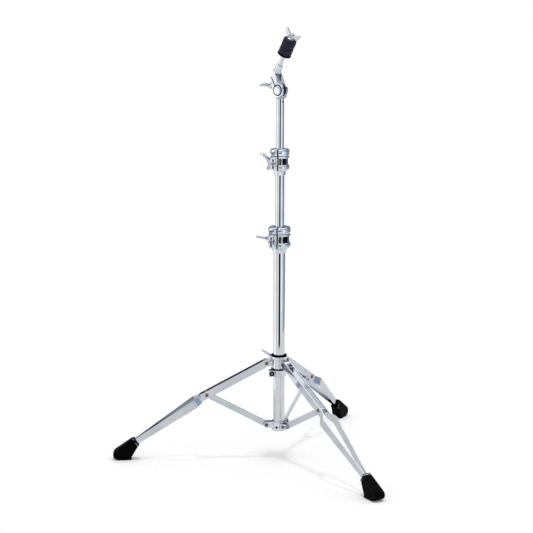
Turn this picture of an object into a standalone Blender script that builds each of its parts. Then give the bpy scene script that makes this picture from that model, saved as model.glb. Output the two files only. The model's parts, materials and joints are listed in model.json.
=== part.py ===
"""Straight cymbal stand on a folding double-braced tripod, in metres, +Z up, standing on z = 0.

The model is laid out about the tube axis and then carried by one empty, so that the origin lies on the floor
under the middle of the footprint. Leg 1 points along -X, and the pieces of a leg are drawn in that leg's own
frame: x outward, y along the pivot pins, z up.
"""
import math

import bmesh
import bpy
from mathutils import Matrix, Vector

# Clearance between pieces that touch or slide
GAP = 0.0003

# Tubes
BASE_TUBE_R = 0.0143
BASE_TUBE_WALL = 0.0015
BASE_TUBE_LENGTH = 0.466
MIDDLE_TUBE_R = 0.0111
MIDDLE_TUBE_WALL = 0.0012
MIDDLE_TUBE_LENGTH = 0.390
MIDDLE_TUBE_OUT = 0.1655
UPPER_TUBE_R = 0.0095
UPPER_TUBE_WALL = 0.0012
UPPER_TUBE_LENGTH = 0.340
UPPER_TUBE_OUT = 0.1365

# Tripod linkage: equal links, so the collar slides straight up the tube as the legs fold
LEG_COUNT = 3
LEG_UPPER = 0.166
LEG_LOWER = 0.208
LEG_SPREAD = math.radians(61.9)
LEG_BEND = math.radians(5.8)
PIVOT_RADIUS = 0.031
FOOT_DROP = 0.0450

# Leg rails, braces and pins
RAIL_THICK = 0.0025
RAIL_HALF_HEIGHT = 0.0088
RAIL_FLARE_HALF_HEIGHT = 0.0102
RAIL_END_HALF_HEIGHT = 0.0072
LUG_WIDTH = 0.0134
RAIL_FLARE_SPREAD = 0.0112
JOGGLE_START = 0.014
JOGGLE_LENGTH = 0.024
RAIL_IN_FOOT = 0.030
RAIL_NECK_GAP = 0.0050
STRUT_HALF_WIDTH = 0.0073
STRUT_THICK = 0.004
SLEEVE_R = 0.0062
PIN_R = 0.003
PIN_HEAD_R = 0.0047
PIN_HEAD_H = 0.0018

# Rubber feet
FOOT_NECK_HALF_WIDTH = 0.0092
FOOT_HEEL_HALF_WIDTH = 0.0148
FOOT_FLARE_LENGTH = 0.045
FOOT_LENGTH = 0.068
FOOT_TOP = 0.0125
FOOT_NECK_TOP = 0.0100
FOOT_NECK_BOTTOM = 0.0102
FOOT_NECK_LENGTH = 0.004
FOOT_SOLE_START = 0.036
FOOT_SOLE_END = 0.060
FOOT_EDGE = 0.0030

# Leg collar, its bushings, the stop ring under it and the fixed bracket
COLLAR_RISE = 0.017
COLLAR_DROP = 0.014
COLLAR_WALL = 0.0020
COLLAR_RIM = 0.0011
COLLAR_RIM_H = 0.007
BUSHING_WALL = 0.0012
BUSHING_DEPTH = 0.010
FLANGE_H = 0.0030
LUG_HALF_HEIGHT = 0.0085
COLLAR_WING_RISE = 0.008
BOSS_SEAT_R = 0.0065
COLLAR_BOSS_REACH = 0.0055
STOP_RING_HEIGHT = 0.0155
STOP_RING_WALL = 0.0022
STOP_BLOCK = (0.014, 0.019)
BRACKET_HEIGHT = 0.0225
BRACKET_WALL = 0.0040
BRACKET_DROP = 0.0145
TUBE_IN_BRACKET = 0.0025
EAR_THICK = 0.0026
PLUG_DEPTH = 0.016
PLUG_RIM_H = 0.003

# Tube clamps and the memory locks above them
LOWER_CLAMP_WALL = 0.0127
UPPER_CLAMP_WALL = 0.0119
CONE_H = 0.011
CONE_TOP_WALL = 0.0040
CONE_BOTTOM_WALL = 0.0016
RING_H = 0.015
WAIST_H = 0.0165
RIM_H = 0.0045
WAIST_INSET = 0.003
SHELL_WALL = 0.0027
TUBE_SEAT = 0.024
LOCK_H = 0.0165
BLOCK_REACH = 0.001
BLOCK_LENGTH = 0.0125
BLOCK_BOLT_SHARE = 0.40
BLOCK_BACK = 0.0065
BLOCK_TRIM = 0.002
SLIT_WIDTH = 0.0032
SLIT_ANGLE = math.radians(-108.0)
WINDOW_WIDTH = 0.014
WINDOW_ANGLES = (-63.0, -17.0, 29.0, 75.0)
WINDOW_LIP = 0.0006
WING_RISE = 0.0300
CLAMP_WING_ANGLE = math.radians(135.0)
CLAMP_BOSS_REACH = 0.003

# Wing bolts, key bolts and small screws
WING_HUB_R = 0.0060
WING_HUB_H = 0.0125
WING_SPAN = 0.0265
WING_REACH = 0.0250
WING_TIP_R = 0.0045
WING_THICK = 0.0054
WING_SHANK_R = 0.003
COLLAR_WING_TURN = math.radians(-50.0)
UPPER_WING_TURN = math.radians(-32.0)
LOWER_WING_TURN = math.radians(-76.0)
TILTER_WING_TURN = math.radians(-64.0)
BLADE_SPAN = 0.0255
BLADE_REACH = 0.0215
BLADE_LOW = 0.0030
BLADE_THICK = 0.0036
BOLT_HEAD_R = 0.0050
STOP_BOLT_HEAD_R = 0.0062
BOLT_HEAD_H = 0.0036
BOLT_SHANK_R = 0.0022
BOLT_SHANK_L = 0.006

# Tilter, drawn in the plane square to its pivot, with the pivot at the middle
TILTER_TURN = math.radians(-48.0)
TILTER_RISE = 0.020
ROD_LEAN = math.radians(29.0)
BARREL_R = 0.011
FRICTION_WALL = 0.0014
ARM_WALL = 0.0035
ARM_RING_THICK = 0.0064
DRUM_R = 0.0158
ARM_THICK = 0.0134
ARM_OFFSET = -0.0027
CHEEK_THICK = 0.008
CHEEK_R = 0.0145
STEM_WIDTH = 0.016
NECK_FLANGE_H = 0.0015
SPIGOT_DEPTH = 0.020
CAP_R = 0.0115
CAP_H = 0.003
CAP_STUB_R = 0.003
CAP_STUB_L = 0.008
BOSS_TOP = (0.0009, 0.0593)
BOSS_R = 0.0083
BOSS_L = 0.020
BOSS_HOLE = 0.017
SLOT_WIDTH = 0.0024
SLOT_LEAN = math.radians(30.0)
SLOT_MIDDLE = (-0.0127, 0.0161)
SLOT_LENGTH = 0.036
FLAP_THICK = 0.0102
FLAP_HALF_LENGTH = 0.0088
ARM_BOLT_L = 0.0165
SLOPE_FRONT = -0.007
SLOPE_BACK = 0.007
SLOPE_RISE = 0.035
SLOPE_LEAN = math.radians(16.0)
SLOPE_TOOL = 0.060
SLOPE_HOLE_R = 0.0026
SLOPE_HOLE_DEPTH = 0.006
SET_SCREW_R = 0.002
SET_SCREW_DEPTH = 0.005
SET_SCREW_DROP = 0.007

# Cymbal post, measured along the rod from the top of its boss
ROD_R = 0.0048
ROD_THREAD_R = 0.0040
ROD_SHOULDER = 0.0255
SEAT_R = 0.0170
SEAT_H = 0.005
SLEEVE_WALL = 0.0017
FELT_R = 0.0160
FELT_H = 0.0195
NUT_HUB_R = 0.0070
NUT_H = 0.012
NUT_FLANGE_R = 0.0088
NUT_FLANGE_H = 0.002
NUT_SPAN = 0.0225
NUT_REACH = 0.0205
NUT_TURN = math.radians(6.0)
ROD_ABOVE_NUT = 0.003

# Facets of the round shapes
ROUND_STEPS = 28
SMALL_STEPS = 12

# Heights that follow from the sizes above
LOWER_SLOPE = math.radians(90.0) - LEG_SPREAD + LEG_BEND
KNEE_DROP = LEG_UPPER * math.cos(LEG_SPREAD)
KNEE_REACH = LEG_UPPER * math.sin(LEG_SPREAD)
COLLAR_Z = FOOT_DROP + LEG_LOWER * math.sin(LOWER_SLOPE) + KNEE_DROP
BRACKET_Z = COLLAR_Z - 2 * KNEE_DROP
BRACKET_BOTTOM = BRACKET_Z - BRACKET_DROP
BASE_BOTTOM = BRACKET_BOTTOM + TUBE_IN_BRACKET
BASE_TOP = BASE_BOTTOM + BASE_TUBE_LENGTH
LOWER_CLAMP_Z = BASE_TOP - TUBE_SEAT
CLAMP_H = CONE_H + RING_H + WAIST_H + RIM_H
MIDDLE_TOP = LOWER_CLAMP_Z + CLAMP_H + MIDDLE_TUBE_OUT
UPPER_CLAMP_Z = MIDDLE_TOP - TUBE_SEAT
UPPER_TOP = UPPER_CLAMP_Z + CLAMP_H + UPPER_TUBE_OUT
TILTER_Z = UPPER_TOP + TILTER_RISE
LEG_AZIMUTHS = [math.pi + k * 2 * math.pi / LEG_COUNT for k in range(LEG_COUNT)]
RAIL_Y = LUG_WIDTH / 2 + GAP + RAIL_THICK / 2
RAIL_NECK_Y = RAIL_NECK_GAP / 2 + RAIL_THICK / 2
FOOT_REACH = PIVOT_RADIUS + KNEE_REACH + (LEG_LOWER + FOOT_LENGTH) * math.cos(LOWER_SLOPE)

# Where the tube axis stands from the middle of the footprint
AXIS_X = (FOOT_REACH - FOOT_REACH * math.cos(math.pi / LEG_COUNT)) / 2 - FOOT_HEEL_HALF_WIDTH * 0.4
AXIS_Y = 0.0

for old_object in list(bpy.data.objects):
    bpy.data.objects.remove(old_object)
stand = bpy.data.collections.new("cymbal_stand")
bpy.context.scene.collection.children.link(stand)
cutters = bpy.data.collections.new("cutters")
bpy.context.scene.collection.children.link(cutters)


# Materials
def material(name, colour, roughness, metallic):
    made = bpy.data.materials.new(name)
    made.use_nodes = True
    shader = made.node_tree.nodes["Principled BSDF"]
    shader.inputs["Base Color"].default_value = (*colour, 1.0)
    shader.inputs["Roughness"].default_value = roughness
    shader.inputs["Metallic"].default_value = metallic
    return made


CHROME = (0.80, 0.81, 0.83)
STEEL = (0.62, 0.63, 0.65)
NYLON = (0.012, 0.012, 0.013)
RUBBER = (0.010, 0.010, 0.011)
FELT = (0.020, 0.021, 0.026)


def chrome(name):
    return material(name + "_chrome", CHROME, 0.08, 1.0)


def steel(name):
    return material(name + "_steel", STEEL, 0.28, 1.0)


def nylon(name):
    return material(name + "_nylon", NYLON, 0.42, 0.0)


def rubber(name):
    return material(name + "_rubber", RUBBER, 0.65, 0.0)


def felt(name):
    return material(name + "_felt", FELT, 0.95, 0.0)


# Shape helpers
def empty(name, parent, location=(0, 0, 0), rotation=(0, 0, 0)):
    made = bpy.data.objects.new(name, None)
    stand.objects.link(made)
    made.parent = parent
    made.location = location
    made.rotation_euler = rotation
    return made


def add(name, mesh, parent, location=(0, 0, 0), rotation=(0, 0, 0), finish=None):
    """A part when it has a finish, and otherwise a cutter or a piece to be joined to a part."""
    made = bpy.data.objects.new(name, mesh)
    made.parent = parent
    made.location = location
    made.rotation_euler = rotation
    if finish is None:
        cutters.objects.link(made)
        made.hide_render = True
        made.display_type = "WIRE"
        return made
    stand.objects.link(made)
    mesh.materials.append(finish(name))
    mesh.shade_smooth()
    mesh.set_sharp_from_angle(angle=math.radians(35.0))
    return made


def mesh_from(name, work):
    mesh = bpy.data.meshes.new(name)
    bmesh.ops.recalc_face_normals(work, faces=work.faces)
    work.to_mesh(mesh)
    work.free()
    return mesh


def cylinder_mesh(name, radius, length, steps=SMALL_STEPS):
    """A cylinder along local Z, centred on its origin."""
    work = bmesh.new()
    bmesh.ops.create_cone(work, cap_ends=True, segments=steps, radius1=radius, radius2=radius, depth=length)
    return mesh_from(name, work)


def box_mesh(name, size):
    work = bmesh.new()
    bmesh.ops.create_cube(work, size=1.0, matrix=Matrix.Diagonal((*size, 1.0)))
    return mesh_from(name, work)


def turned(name, profile, parent, location=(0, 0, 0), rotation=(0, 0, 0), finish=None, steps=ROUND_STEPS):
    """A profile of (radius, height) points, turned about local Z. A ring's profile is a closed loop."""
    mesh = bpy.data.meshes.new(name)
    count = len(profile)
    edges = [(k, k + 1) for k in range(count - 1)]
    if profile[0][0] > 0 or profile[-1][0] > 0:
        edges.append((count - 1, 0))
    mesh.from_pydata([(radius, 0.0, height) for radius, height in profile], edges, [])
    made = add(name, mesh, parent, location, rotation, finish)
    screw = made.modifiers.new("turn", "SCREW")
    screw.steps = steps
    screw.render_steps = steps
    screw.use_merge_vertices = True
    screw.merge_threshold = 0.00001
    screw.use_smooth_shade = True
    return made


def ring_profile(outer, inner, bottom, top):
    return [(outer, top), (outer, bottom), (inner, bottom), (inner, top)]


def plate_mesh(name, outline, thickness):
    """A flat outline in local XY, thickened about z = 0."""
    data = bpy.data.curves.new(name, "CURVE")
    data.dimensions = "2D"
    data.fill_mode = "BOTH"
    data.extrude = thickness / 2
    spline = data.splines.new("POLY")
    spline.points.add(len(outline) - 1)
    for point, (x, y) in zip(spline.points, outline):
        point.co = (x, y, 0.0, 1.0)
    spline.use_cyclic_u = True
    drawn = bpy.data.objects.new(name + "_outline", data)
    cutters.objects.link(drawn)
    evaluated = drawn.evaluated_get(bpy.context.evaluated_depsgraph_get())
    mesh = bpy.data.meshes.new_from_object(evaluated)
    mesh.name = name
    bpy.data.objects.remove(drawn)
    work = bmesh.new()
    work.from_mesh(mesh)
    bmesh.ops.remove_doubles(work, verts=work.verts, dist=0.000001)
    bmesh.ops.recalc_face_normals(work, faces=work.faces)
    work.to_mesh(mesh)
    work.free()
    return mesh


def arc(centre, radius, start, end, count):
    """Points on an arc, with angles in degrees."""
    angles = [math.radians(start + (end - start) * k / (count - 1)) for k in range(count)]
    return [(centre[0] + radius * math.cos(a), centre[1] + radius * math.sin(a)) for a in angles]


def cut(target, cutter):
    modifier = target.modifiers.new(cutter.name, "BOOLEAN")
    modifier.operation = "DIFFERENCE"
    modifier.object = cutter


def join(target, other):
    modifier = target.modifiers.new(other.name, "BOOLEAN")
    modifier.operation = "UNION"
    modifier.object = other


ALONG_X = (0, math.radians(90.0), 0)
ALONG_Y = (math.radians(-90.0), 0, 0)
ALONG_MINUS_Y = (math.radians(90.0), 0, 0)
UPRIGHT_PLATE = (math.radians(90.0), 0, 0)


def hole(target, name, parent, radius, length, location, rotation=ALONG_Y):
    cut(target, add(name, cylinder_mesh(name, radius + GAP, length), parent, location, rotation))


def key_bolt(name, parent, location, rotation, head_r=BOLT_HEAD_R):
    """A small bolt whose head stands along local +Z on the face at its origin."""
    profile = [
        (0.0, BOLT_HEAD_H + GAP),
        (head_r * 0.8, BOLT_HEAD_H + GAP),
        (head_r, BOLT_HEAD_H * 0.75 + GAP),
        (head_r, GAP),
        (BOLT_SHANK_R, GAP),
        (BOLT_SHANK_R, -BOLT_SHANK_L),
        (0.0, -BOLT_SHANK_L),
    ]
    return turned(name, profile, parent, location, rotation, steel, SMALL_STEPS)


def bolt_hole(target, name, parent, location, rotation):
    """The blind hole for a key bolt, open at the face."""
    length = 2 * (BOLT_SHANK_L + GAP)
    hole(target, name, parent, BOLT_SHANK_R, length, location, rotation)


def wing_outline(span, reach):
    """Both lobes of a wing, flaring from the hub to two rounded tips."""
    centre = (span - WING_TIP_R, reach - WING_TIP_R)
    right = [(0.0, 0.0030), (0.008, 0.0036), (0.014, 0.0075)]
    right += arc(centre, WING_TIP_R, -40.0, 140.0, 6)
    right += [(0.0045, WING_HUB_H - 0.002)]
    left = [(-x, y) for x, y in reversed(right) if x > 0]
    return right + left


def blade_lobes(name, span, reach, hub_h):
    """A thin two-bladed wing, each blade running out to a corner."""
    right = [
        (0.0, BLADE_LOW),
        (span * 0.70, BLADE_LOW + 0.0012),
        (span * 0.86, BLADE_LOW + 0.0040),
        (span, reach - 0.0030),
        (span - 0.0006, reach - 0.0008),
        (span - 0.0024, reach),
        (span - 0.0046, reach - 0.0010),
        (0.005, hub_h - 0.001),
    ]
    left = [(-x, y) for x, y in reversed(right) if x > 0]
    return plate_mesh(name, right + left, BLADE_THICK)


def wing_bolt(name, parent, location, lobes_mesh, shank_length):
    """A wing along local +Z from the face at its origin, on a shank along local -Z."""
    profile = [
        (0.0, WING_HUB_H),
        (WING_HUB_R * 0.75, WING_HUB_H),
        (WING_HUB_R, WING_HUB_H * 0.7),
        (WING_HUB_R, GAP),
        (WING_SHANK_R, GAP),
        (WING_SHANK_R, -shank_length),
        (0.0, -shank_length),
    ]
    made = turned(name, profile, parent, location, (0, 0, 0), chrome, SMALL_STEPS)
    lobes = add(name + "_lobes", lobes_mesh, made)
    lobes.rotation_euler = UPRIGHT_PLATE
    join(made, lobes)
    return made


def radial_wing(prefix, target, parent, azimuth, z, radii, wing_turn):
    """A boss on a round wall, and the wing bolt through it that presses on the bushing inside.

    The radii are the wall's, the bushing's and that of the boss's face.
    """
    wall_r, pressed_r, face_r = radii
    turn = empty(prefix + "_wing_turn", parent, (0, 0, z), (0, 0, azimuth))
    root = math.sqrt(wall_r ** 2 - BOSS_SEAT_R ** 2) - GAP / 2
    boss_mesh = cylinder_mesh(prefix + "_boss", BOSS_SEAT_R, face_r - root)
    boss = add(prefix + "_boss", boss_mesh, turn, ((face_r + root) / 2, 0, 0), ALONG_X)
    join(target, boss)
    hole_length = 2 * (face_r - pressed_r + GAP)
    hole(target, prefix + "_bolt_hole", turn, WING_SHANK_R, hole_length, (face_r, 0, 0), ALONG_X)
    lobes_mesh = plate_mesh(prefix + "_wing_lobes", wing_outline(WING_SPAN, WING_REACH), WING_THICK)
    wing = wing_bolt(prefix + "_wing_bolt", turn, (face_r, 0, 0), lobes_mesh, face_r - pressed_r - GAP)
    facing = Matrix.Rotation(wing_turn, 3, "X") @ Matrix.Rotation(math.radians(90.0), 3, "Y")
    wing.rotation_euler = facing.to_euler()


# The empty that carries the tube axis
axis = empty("tube_axis", None, (AXIS_X, AXIS_Y, 0.0))


# Tubes
def tube(name, radius, wall, bottom, top):
    profile = ring_profile(radius, radius - wall, bottom, top)
    return turned(name, profile, axis, finish=chrome)


base_tube = tube("base_tube", BASE_TUBE_R, BASE_TUBE_WALL, BASE_BOTTOM, BASE_TOP)
middle_tube = tube("middle_tube", MIDDLE_TUBE_R, MIDDLE_TUBE_WALL, MIDDLE_TOP - MIDDLE_TUBE_LENGTH, MIDDLE_TOP)
upper_tube = tube("upper_tube", UPPER_TUBE_R, UPPER_TUBE_WALL, UPPER_TOP - UPPER_TUBE_LENGTH, UPPER_TOP)

# Plug in the lower end of the base tube
plug_r = BASE_TUBE_R - BASE_TUBE_WALL - GAP
plug = [
    (0.0, BASE_BOTTOM + PLUG_DEPTH),
    (plug_r, BASE_BOTTOM + PLUG_DEPTH),
    (plug_r, BASE_BOTTOM - GAP),
    (BASE_TUBE_R, BASE_BOTTOM - GAP),
    (BASE_TUBE_R, BASE_BOTTOM - PLUG_RIM_H),
    (0.0, BASE_BOTTOM - PLUG_RIM_H),
]
turned("base_end_plug", plug, axis, finish=nylon)


# Leg bracket at the foot of the base tube, with a pair of ears for each strut
def ear_outline(reach, half_height, inner):
    """A tongue from the tube out to a round end about a pivot at the given reach."""
    return [(inner, -half_height)] + arc((reach, 0.0), half_height, -90.0, 90.0, 9) + [(inner, half_height)]


def rooted(outer, half_width):
    """Where a straight-sided piece of that half width has to start, to be rooted in a round wall."""
    return math.sqrt(outer ** 2 - half_width ** 2) - GAP / 2


bracket_r = BASE_TUBE_R + BRACKET_WALL
bracket_profile = ring_profile(bracket_r, BASE_TUBE_R + GAP, BRACKET_BOTTOM, BRACKET_BOTTOM + BRACKET_HEIGHT)
bracket = turned("leg_bracket", bracket_profile, axis, finish=chrome)
for number, azimuth in enumerate(LEG_AZIMUTHS, 1):
    turn = empty(f"bracket_ears_{number}", axis, (0, 0, BRACKET_Z), (0, 0, azimuth))
    for side in (-1, 1):
        label = f"bracket_ear_{number}_{'left' if side > 0 else 'right'}"
        outline = ear_outline(PIVOT_RADIUS, STRUT_HALF_WIDTH, BASE_TUBE_R + GAP)
        ear = add(label, plate_mesh(label, outline, EAR_THICK), turn)
        ear.location.y = side * (LUG_WIDTH / 2 + GAP + EAR_THICK / 2)
        ear.rotation_euler = UPRIGHT_PLATE
        join(bracket, ear)
    hole(bracket, f"bracket_pin_hole_{number}", turn, PIN_R, 4 * LUG_WIDTH, (PIVOT_RADIUS, 0, 0))

# Screw that fixes the bracket to the tube, facing between leg 1 and leg 2
screw_azimuth = LEG_AZIMUTHS[0] + math.radians(68.0)
screw_z = BRACKET_BOTTOM + BRACKET_HEIGHT * 0.42
screw_turn = empty("bracket_screw_turn", axis, (0, 0, screw_z), (0, 0, screw_azimuth))
screw_profile = [
    (0.0, 0.0010),
    (0.0018, 0.0010),
    (0.0026, GAP),
    (SET_SCREW_R, GAP - 0.0004),
    (SET_SCREW_R, -BRACKET_WALL * 0.7),
    (0.0, -BRACKET_WALL * 0.7),
]
turned("bracket_screw", screw_profile, screw_turn, (bracket_r, 0, 0), ALONG_X, steel, SMALL_STEPS)
hole_depth = 2 * BRACKET_WALL * 0.8
hole(bracket, "bracket_screw_hole", screw_turn, SET_SCREW_R + 0.0009, hole_depth, (bracket_r, 0, 0), ALONG_X)

# Leg collar that slides on the base tube, with a lug between the rails of each leg
collar_bottom = COLLAR_Z - COLLAR_DROP
collar_top = COLLAR_Z + COLLAR_RISE
bushing_r = BASE_TUBE_R + GAP + BUSHING_WALL
collar_bore = bushing_r + GAP
collar_r = collar_bore + COLLAR_WALL - GAP
rim_r = collar_r + COLLAR_RIM
collar_profile = [
    (rim_r, collar_top),
    (rim_r, collar_top - COLLAR_RIM_H),
    (collar_r, collar_top - COLLAR_RIM_H - COLLAR_RIM),
    (collar_r, collar_bottom + 2 * COLLAR_RIM),
    (rim_r, collar_bottom + COLLAR_RIM),
    (rim_r, collar_bottom),
    (collar_bore, collar_bottom),
    (collar_bore, collar_top),
]
collar = turned("leg_collar", collar_profile, axis, finish=chrome)
for number, azimuth in enumerate(LEG_AZIMUTHS, 1):
    turn = empty(f"collar_lug_{number}", axis, (0, 0, COLLAR_Z), (0, 0, azimuth))
    label = f"collar_lug_{number}_tongue"
    outline = ear_outline(PIVOT_RADIUS, LUG_HALF_HEIGHT, rooted(collar_r, LUG_WIDTH / 2))
    lug = add(label, plate_mesh(label, outline, LUG_WIDTH), turn, rotation=UPRIGHT_PLATE)
    join(collar, lug)
    hole(collar, f"collar_pin_hole_{number}", turn, PIN_R, 2 * LUG_WIDTH, (PIVOT_RADIUS, 0, 0))

# Boss and wing bolt of the collar, between leg 1 and leg 3
wing_azimuth = LEG_AZIMUTHS[0] - math.pi / LEG_COUNT
wing_z = COLLAR_Z + COLLAR_WING_RISE
boss_face = rim_r + COLLAR_BOSS_REACH
radial_wing("collar", collar, axis, wing_azimuth, wing_z, (collar_r, bushing_r, boss_face), COLLAR_WING_TURN)

# Nylon bushings of the collar, each with a flange outside its end
upper_bushing = [
    (rim_r, collar_top + GAP + FLANGE_H),
    (rim_r, collar_top + GAP),
    (bushing_r, collar_top + GAP),
    (bushing_r, collar_top - BUSHING_DEPTH),
    (BASE_TUBE_R + GAP, collar_top - BUSHING_DEPTH),
    (BASE_TUBE_R + GAP, collar_top + GAP + FLANGE_H),
]
turned("collar_upper_bushing", upper_bushing, axis, finish=nylon)
lower_bushing = [
    (bushing_r, collar_bottom + BUSHING_DEPTH),
    (bushing_r, collar_bottom - GAP),
    (rim_r, collar_bottom - GAP),
    (rim_r, collar_bottom - GAP - FLANGE_H),
    (BASE_TUBE_R + GAP, collar_bottom - GAP - FLANGE_H),
    (BASE_TUBE_R + GAP, collar_bottom + BUSHING_DEPTH),
]
turned("collar_lower_bushing", lower_bushing, axis, finish=nylon)

# Stop ring clamped to the tube under the collar, with a block and its bolt at the front left
stop_top = collar_bottom - 2 * GAP - FLANGE_H
stop_r = BASE_TUBE_R + GAP + STOP_RING_WALL
stop_profile = ring_profile(stop_r, BASE_TUBE_R - GAP, stop_top - STOP_RING_HEIGHT, stop_top)
stop_ring = turned("stop_ring", stop_profile, axis, finish=chrome)
stop_middle = stop_top - STOP_RING_HEIGHT / 2
block_x = -stop_r - STOP_BLOCK[0] * 0.12
block_y = -STOP_BLOCK[1] * 0.28
stop_block = add("stop_block", box_mesh("stop_block", (*STOP_BLOCK, STOP_RING_HEIGHT - GAP)), axis)
stop_block.location = (block_x, block_y, stop_middle)
join(stop_ring, stop_block)
stop_bore_mesh = cylinder_mesh("stop_bore", BASE_TUBE_R + GAP, 2 * STOP_RING_HEIGHT, ROUND_STEPS)
cut(stop_ring, add("stop_bore", stop_bore_mesh, axis, (0, 0, stop_middle)))
stop_face = (block_x, block_y - STOP_BLOCK[1] / 2, stop_middle)
bolt_hole(stop_ring, "stop_bolt_hole", axis, stop_face, ALONG_MINUS_Y)
key_bolt("stop_ring_bolt", axis, stop_face, ALONG_MINUS_Y, STOP_BOLT_HEAD_R)


# Legs
def rail_stations():
    """Stations along a rail: distance along the leg, distance from the lug's middle plane, half height."""
    end = RAIL_HALF_HEIGHT
    stations = []
    for k in range(5):
        angle = math.radians(175.0 - 85.0 * k / 4)
        stations.append((end * math.cos(angle), RAIL_Y, end * math.sin(angle)))
    joggle = LEG_UPPER + JOGGLE_START
    stations.append((LEG_UPPER * 0.5, RAIL_Y, end))
    for k in range(7):
        share = k / 6
        ease = (1 - math.cos(math.pi * share)) / 2
        half = end + (RAIL_FLARE_HALF_HEIGHT - end) * ease
        stations.append((joggle + JOGGLE_LENGTH * share, RAIL_Y + RAIL_FLARE_SPREAD * ease, half))
    flare_end = joggle + JOGGLE_LENGTH
    neck = LEG_UPPER + LEG_LOWER
    neck_start = neck - 0.004
    for k in (1, 2, 3):
        share = k / 4
        half = RAIL_FLARE_HALF_HEIGHT + (RAIL_END_HALF_HEIGHT - RAIL_FLARE_HALF_HEIGHT) * share
        offset = RAIL_Y + RAIL_FLARE_SPREAD + (RAIL_NECK_Y - RAIL_Y - RAIL_FLARE_SPREAD) * share
        stations.append((flare_end + (neck_start - flare_end) * share, offset, half))
    stations.append((neck_start, RAIL_NECK_Y, RAIL_END_HALF_HEIGHT))
    stations.append((neck + RAIL_IN_FOOT, RAIL_NECK_Y, RAIL_END_HALF_HEIGHT))
    return stations


def leg_point(along, height):
    """A point of the leg's middle plane in the leg's frame, from the collar pivot."""
    upper = Vector((math.sin(LEG_SPREAD), 0.0, -math.cos(LEG_SPREAD)))
    lower = Vector((math.cos(LOWER_SLOPE), 0.0, -math.sin(LOWER_SLOPE)))
    if along <= LEG_UPPER + JOGGLE_START:
        direction = upper
        point = upper * along
    else:
        direction = lower
        point = upper * LEG_UPPER + lower * (along - LEG_UPPER)
    normal = Vector((-direction.z, 0.0, direction.x))
    return point + normal * height


def rail_mesh(name, side):
    """A strip lofted through the stations, bent outward at the joggle."""
    work = bmesh.new()
    rings = []
    for along, offset, half in rail_stations():
        ring = []
        for across, height in ((-1, -1), (1, -1), (1, 1), (-1, 1)):
            point = leg_point(along, height * half)
            point.y = side * (offset + across * RAIL_THICK / 2)
            ring.append(work.verts.new(point))
        rings.append(ring)
    for first, second in zip(rings, rings[1:]):
        for k in range(4):
            work.faces.new((first[k], first[(k + 1) % 4], second[(k + 1) % 4], second[k]))
    work.faces.new(rings[0])
    work.faces.new(rings[-1])
    return mesh_from(name, work)


def foot_outline():
    """Side view of the rubber foot from the rail's neck, with its sole on the floor line."""

    def floor(x):
        return (x * math.sin(LOWER_SLOPE) - FOOT_DROP) / math.cos(LOWER_SLOPE)

    return [
        (0.0, FOOT_NECK_TOP),
        (FOOT_NECK_LENGTH, FOOT_NECK_TOP),
        (FOOT_NECK_LENGTH + 0.0015, FOOT_TOP),
        (FOOT_LENGTH - 0.010, FOOT_TOP - 0.0015),
        (FOOT_LENGTH - 0.003, FOOT_TOP - 0.005),
        (FOOT_LENGTH, FOOT_TOP - 0.0115),
        (FOOT_LENGTH - 0.001, floor(FOOT_LENGTH - 0.001) + 0.0045),
        (FOOT_SOLE_END, floor(FOOT_SOLE_END)),
        (FOOT_SOLE_START, floor(FOOT_SOLE_START)),
        (FOOT_SOLE_START - 0.004, floor(FOOT_SOLE_START) + 0.0055),
        (FOOT_NECK_LENGTH + 0.0015, -FOOT_TOP),
        (FOOT_NECK_LENGTH, -FOOT_NECK_BOTTOM),
        (0.0, -FOOT_NECK_BOTTOM),
    ]


def foot_mesh(name):
    mesh = plate_mesh(name, foot_outline(), 2 * FOOT_NECK_HALF_WIDTH)
    for vertex in mesh.vertices:
        share = min(vertex.co.x / FOOT_FLARE_LENGTH, 1.0)
        half = FOOT_NECK_HALF_WIDTH + (FOOT_HEEL_HALF_WIDTH - FOOT_NECK_HALF_WIDTH) * share
        vertex.co.z = math.copysign(half, vertex.co.z)
    return mesh


def strut_outline():
    """A flat bar with round ends about its two pivots."""
    upper_end = arc((LEG_UPPER, 0.0), STRUT_HALF_WIDTH, -90.0, 90.0, 9)
    lower_end = arc((0.0, 0.0), STRUT_HALF_WIDTH, 90.0, 270.0, 9)
    return upper_end + lower_end


def pivot_pin(name, parent, location, half_grip):
    face = half_grip + GAP
    profile = [
        (0.0, face + PIN_HEAD_H),
        (PIN_HEAD_R * 0.7, face + PIN_HEAD_H),
        (PIN_HEAD_R, face + PIN_HEAD_H * 0.4),
        (PIN_HEAD_R, face),
        (PIN_R, face),
    ]
    profile += [(radius, -height) for radius, height in reversed(profile)]
    turned(name, profile, parent, location, ALONG_Y, steel, SMALL_STEPS)


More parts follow.
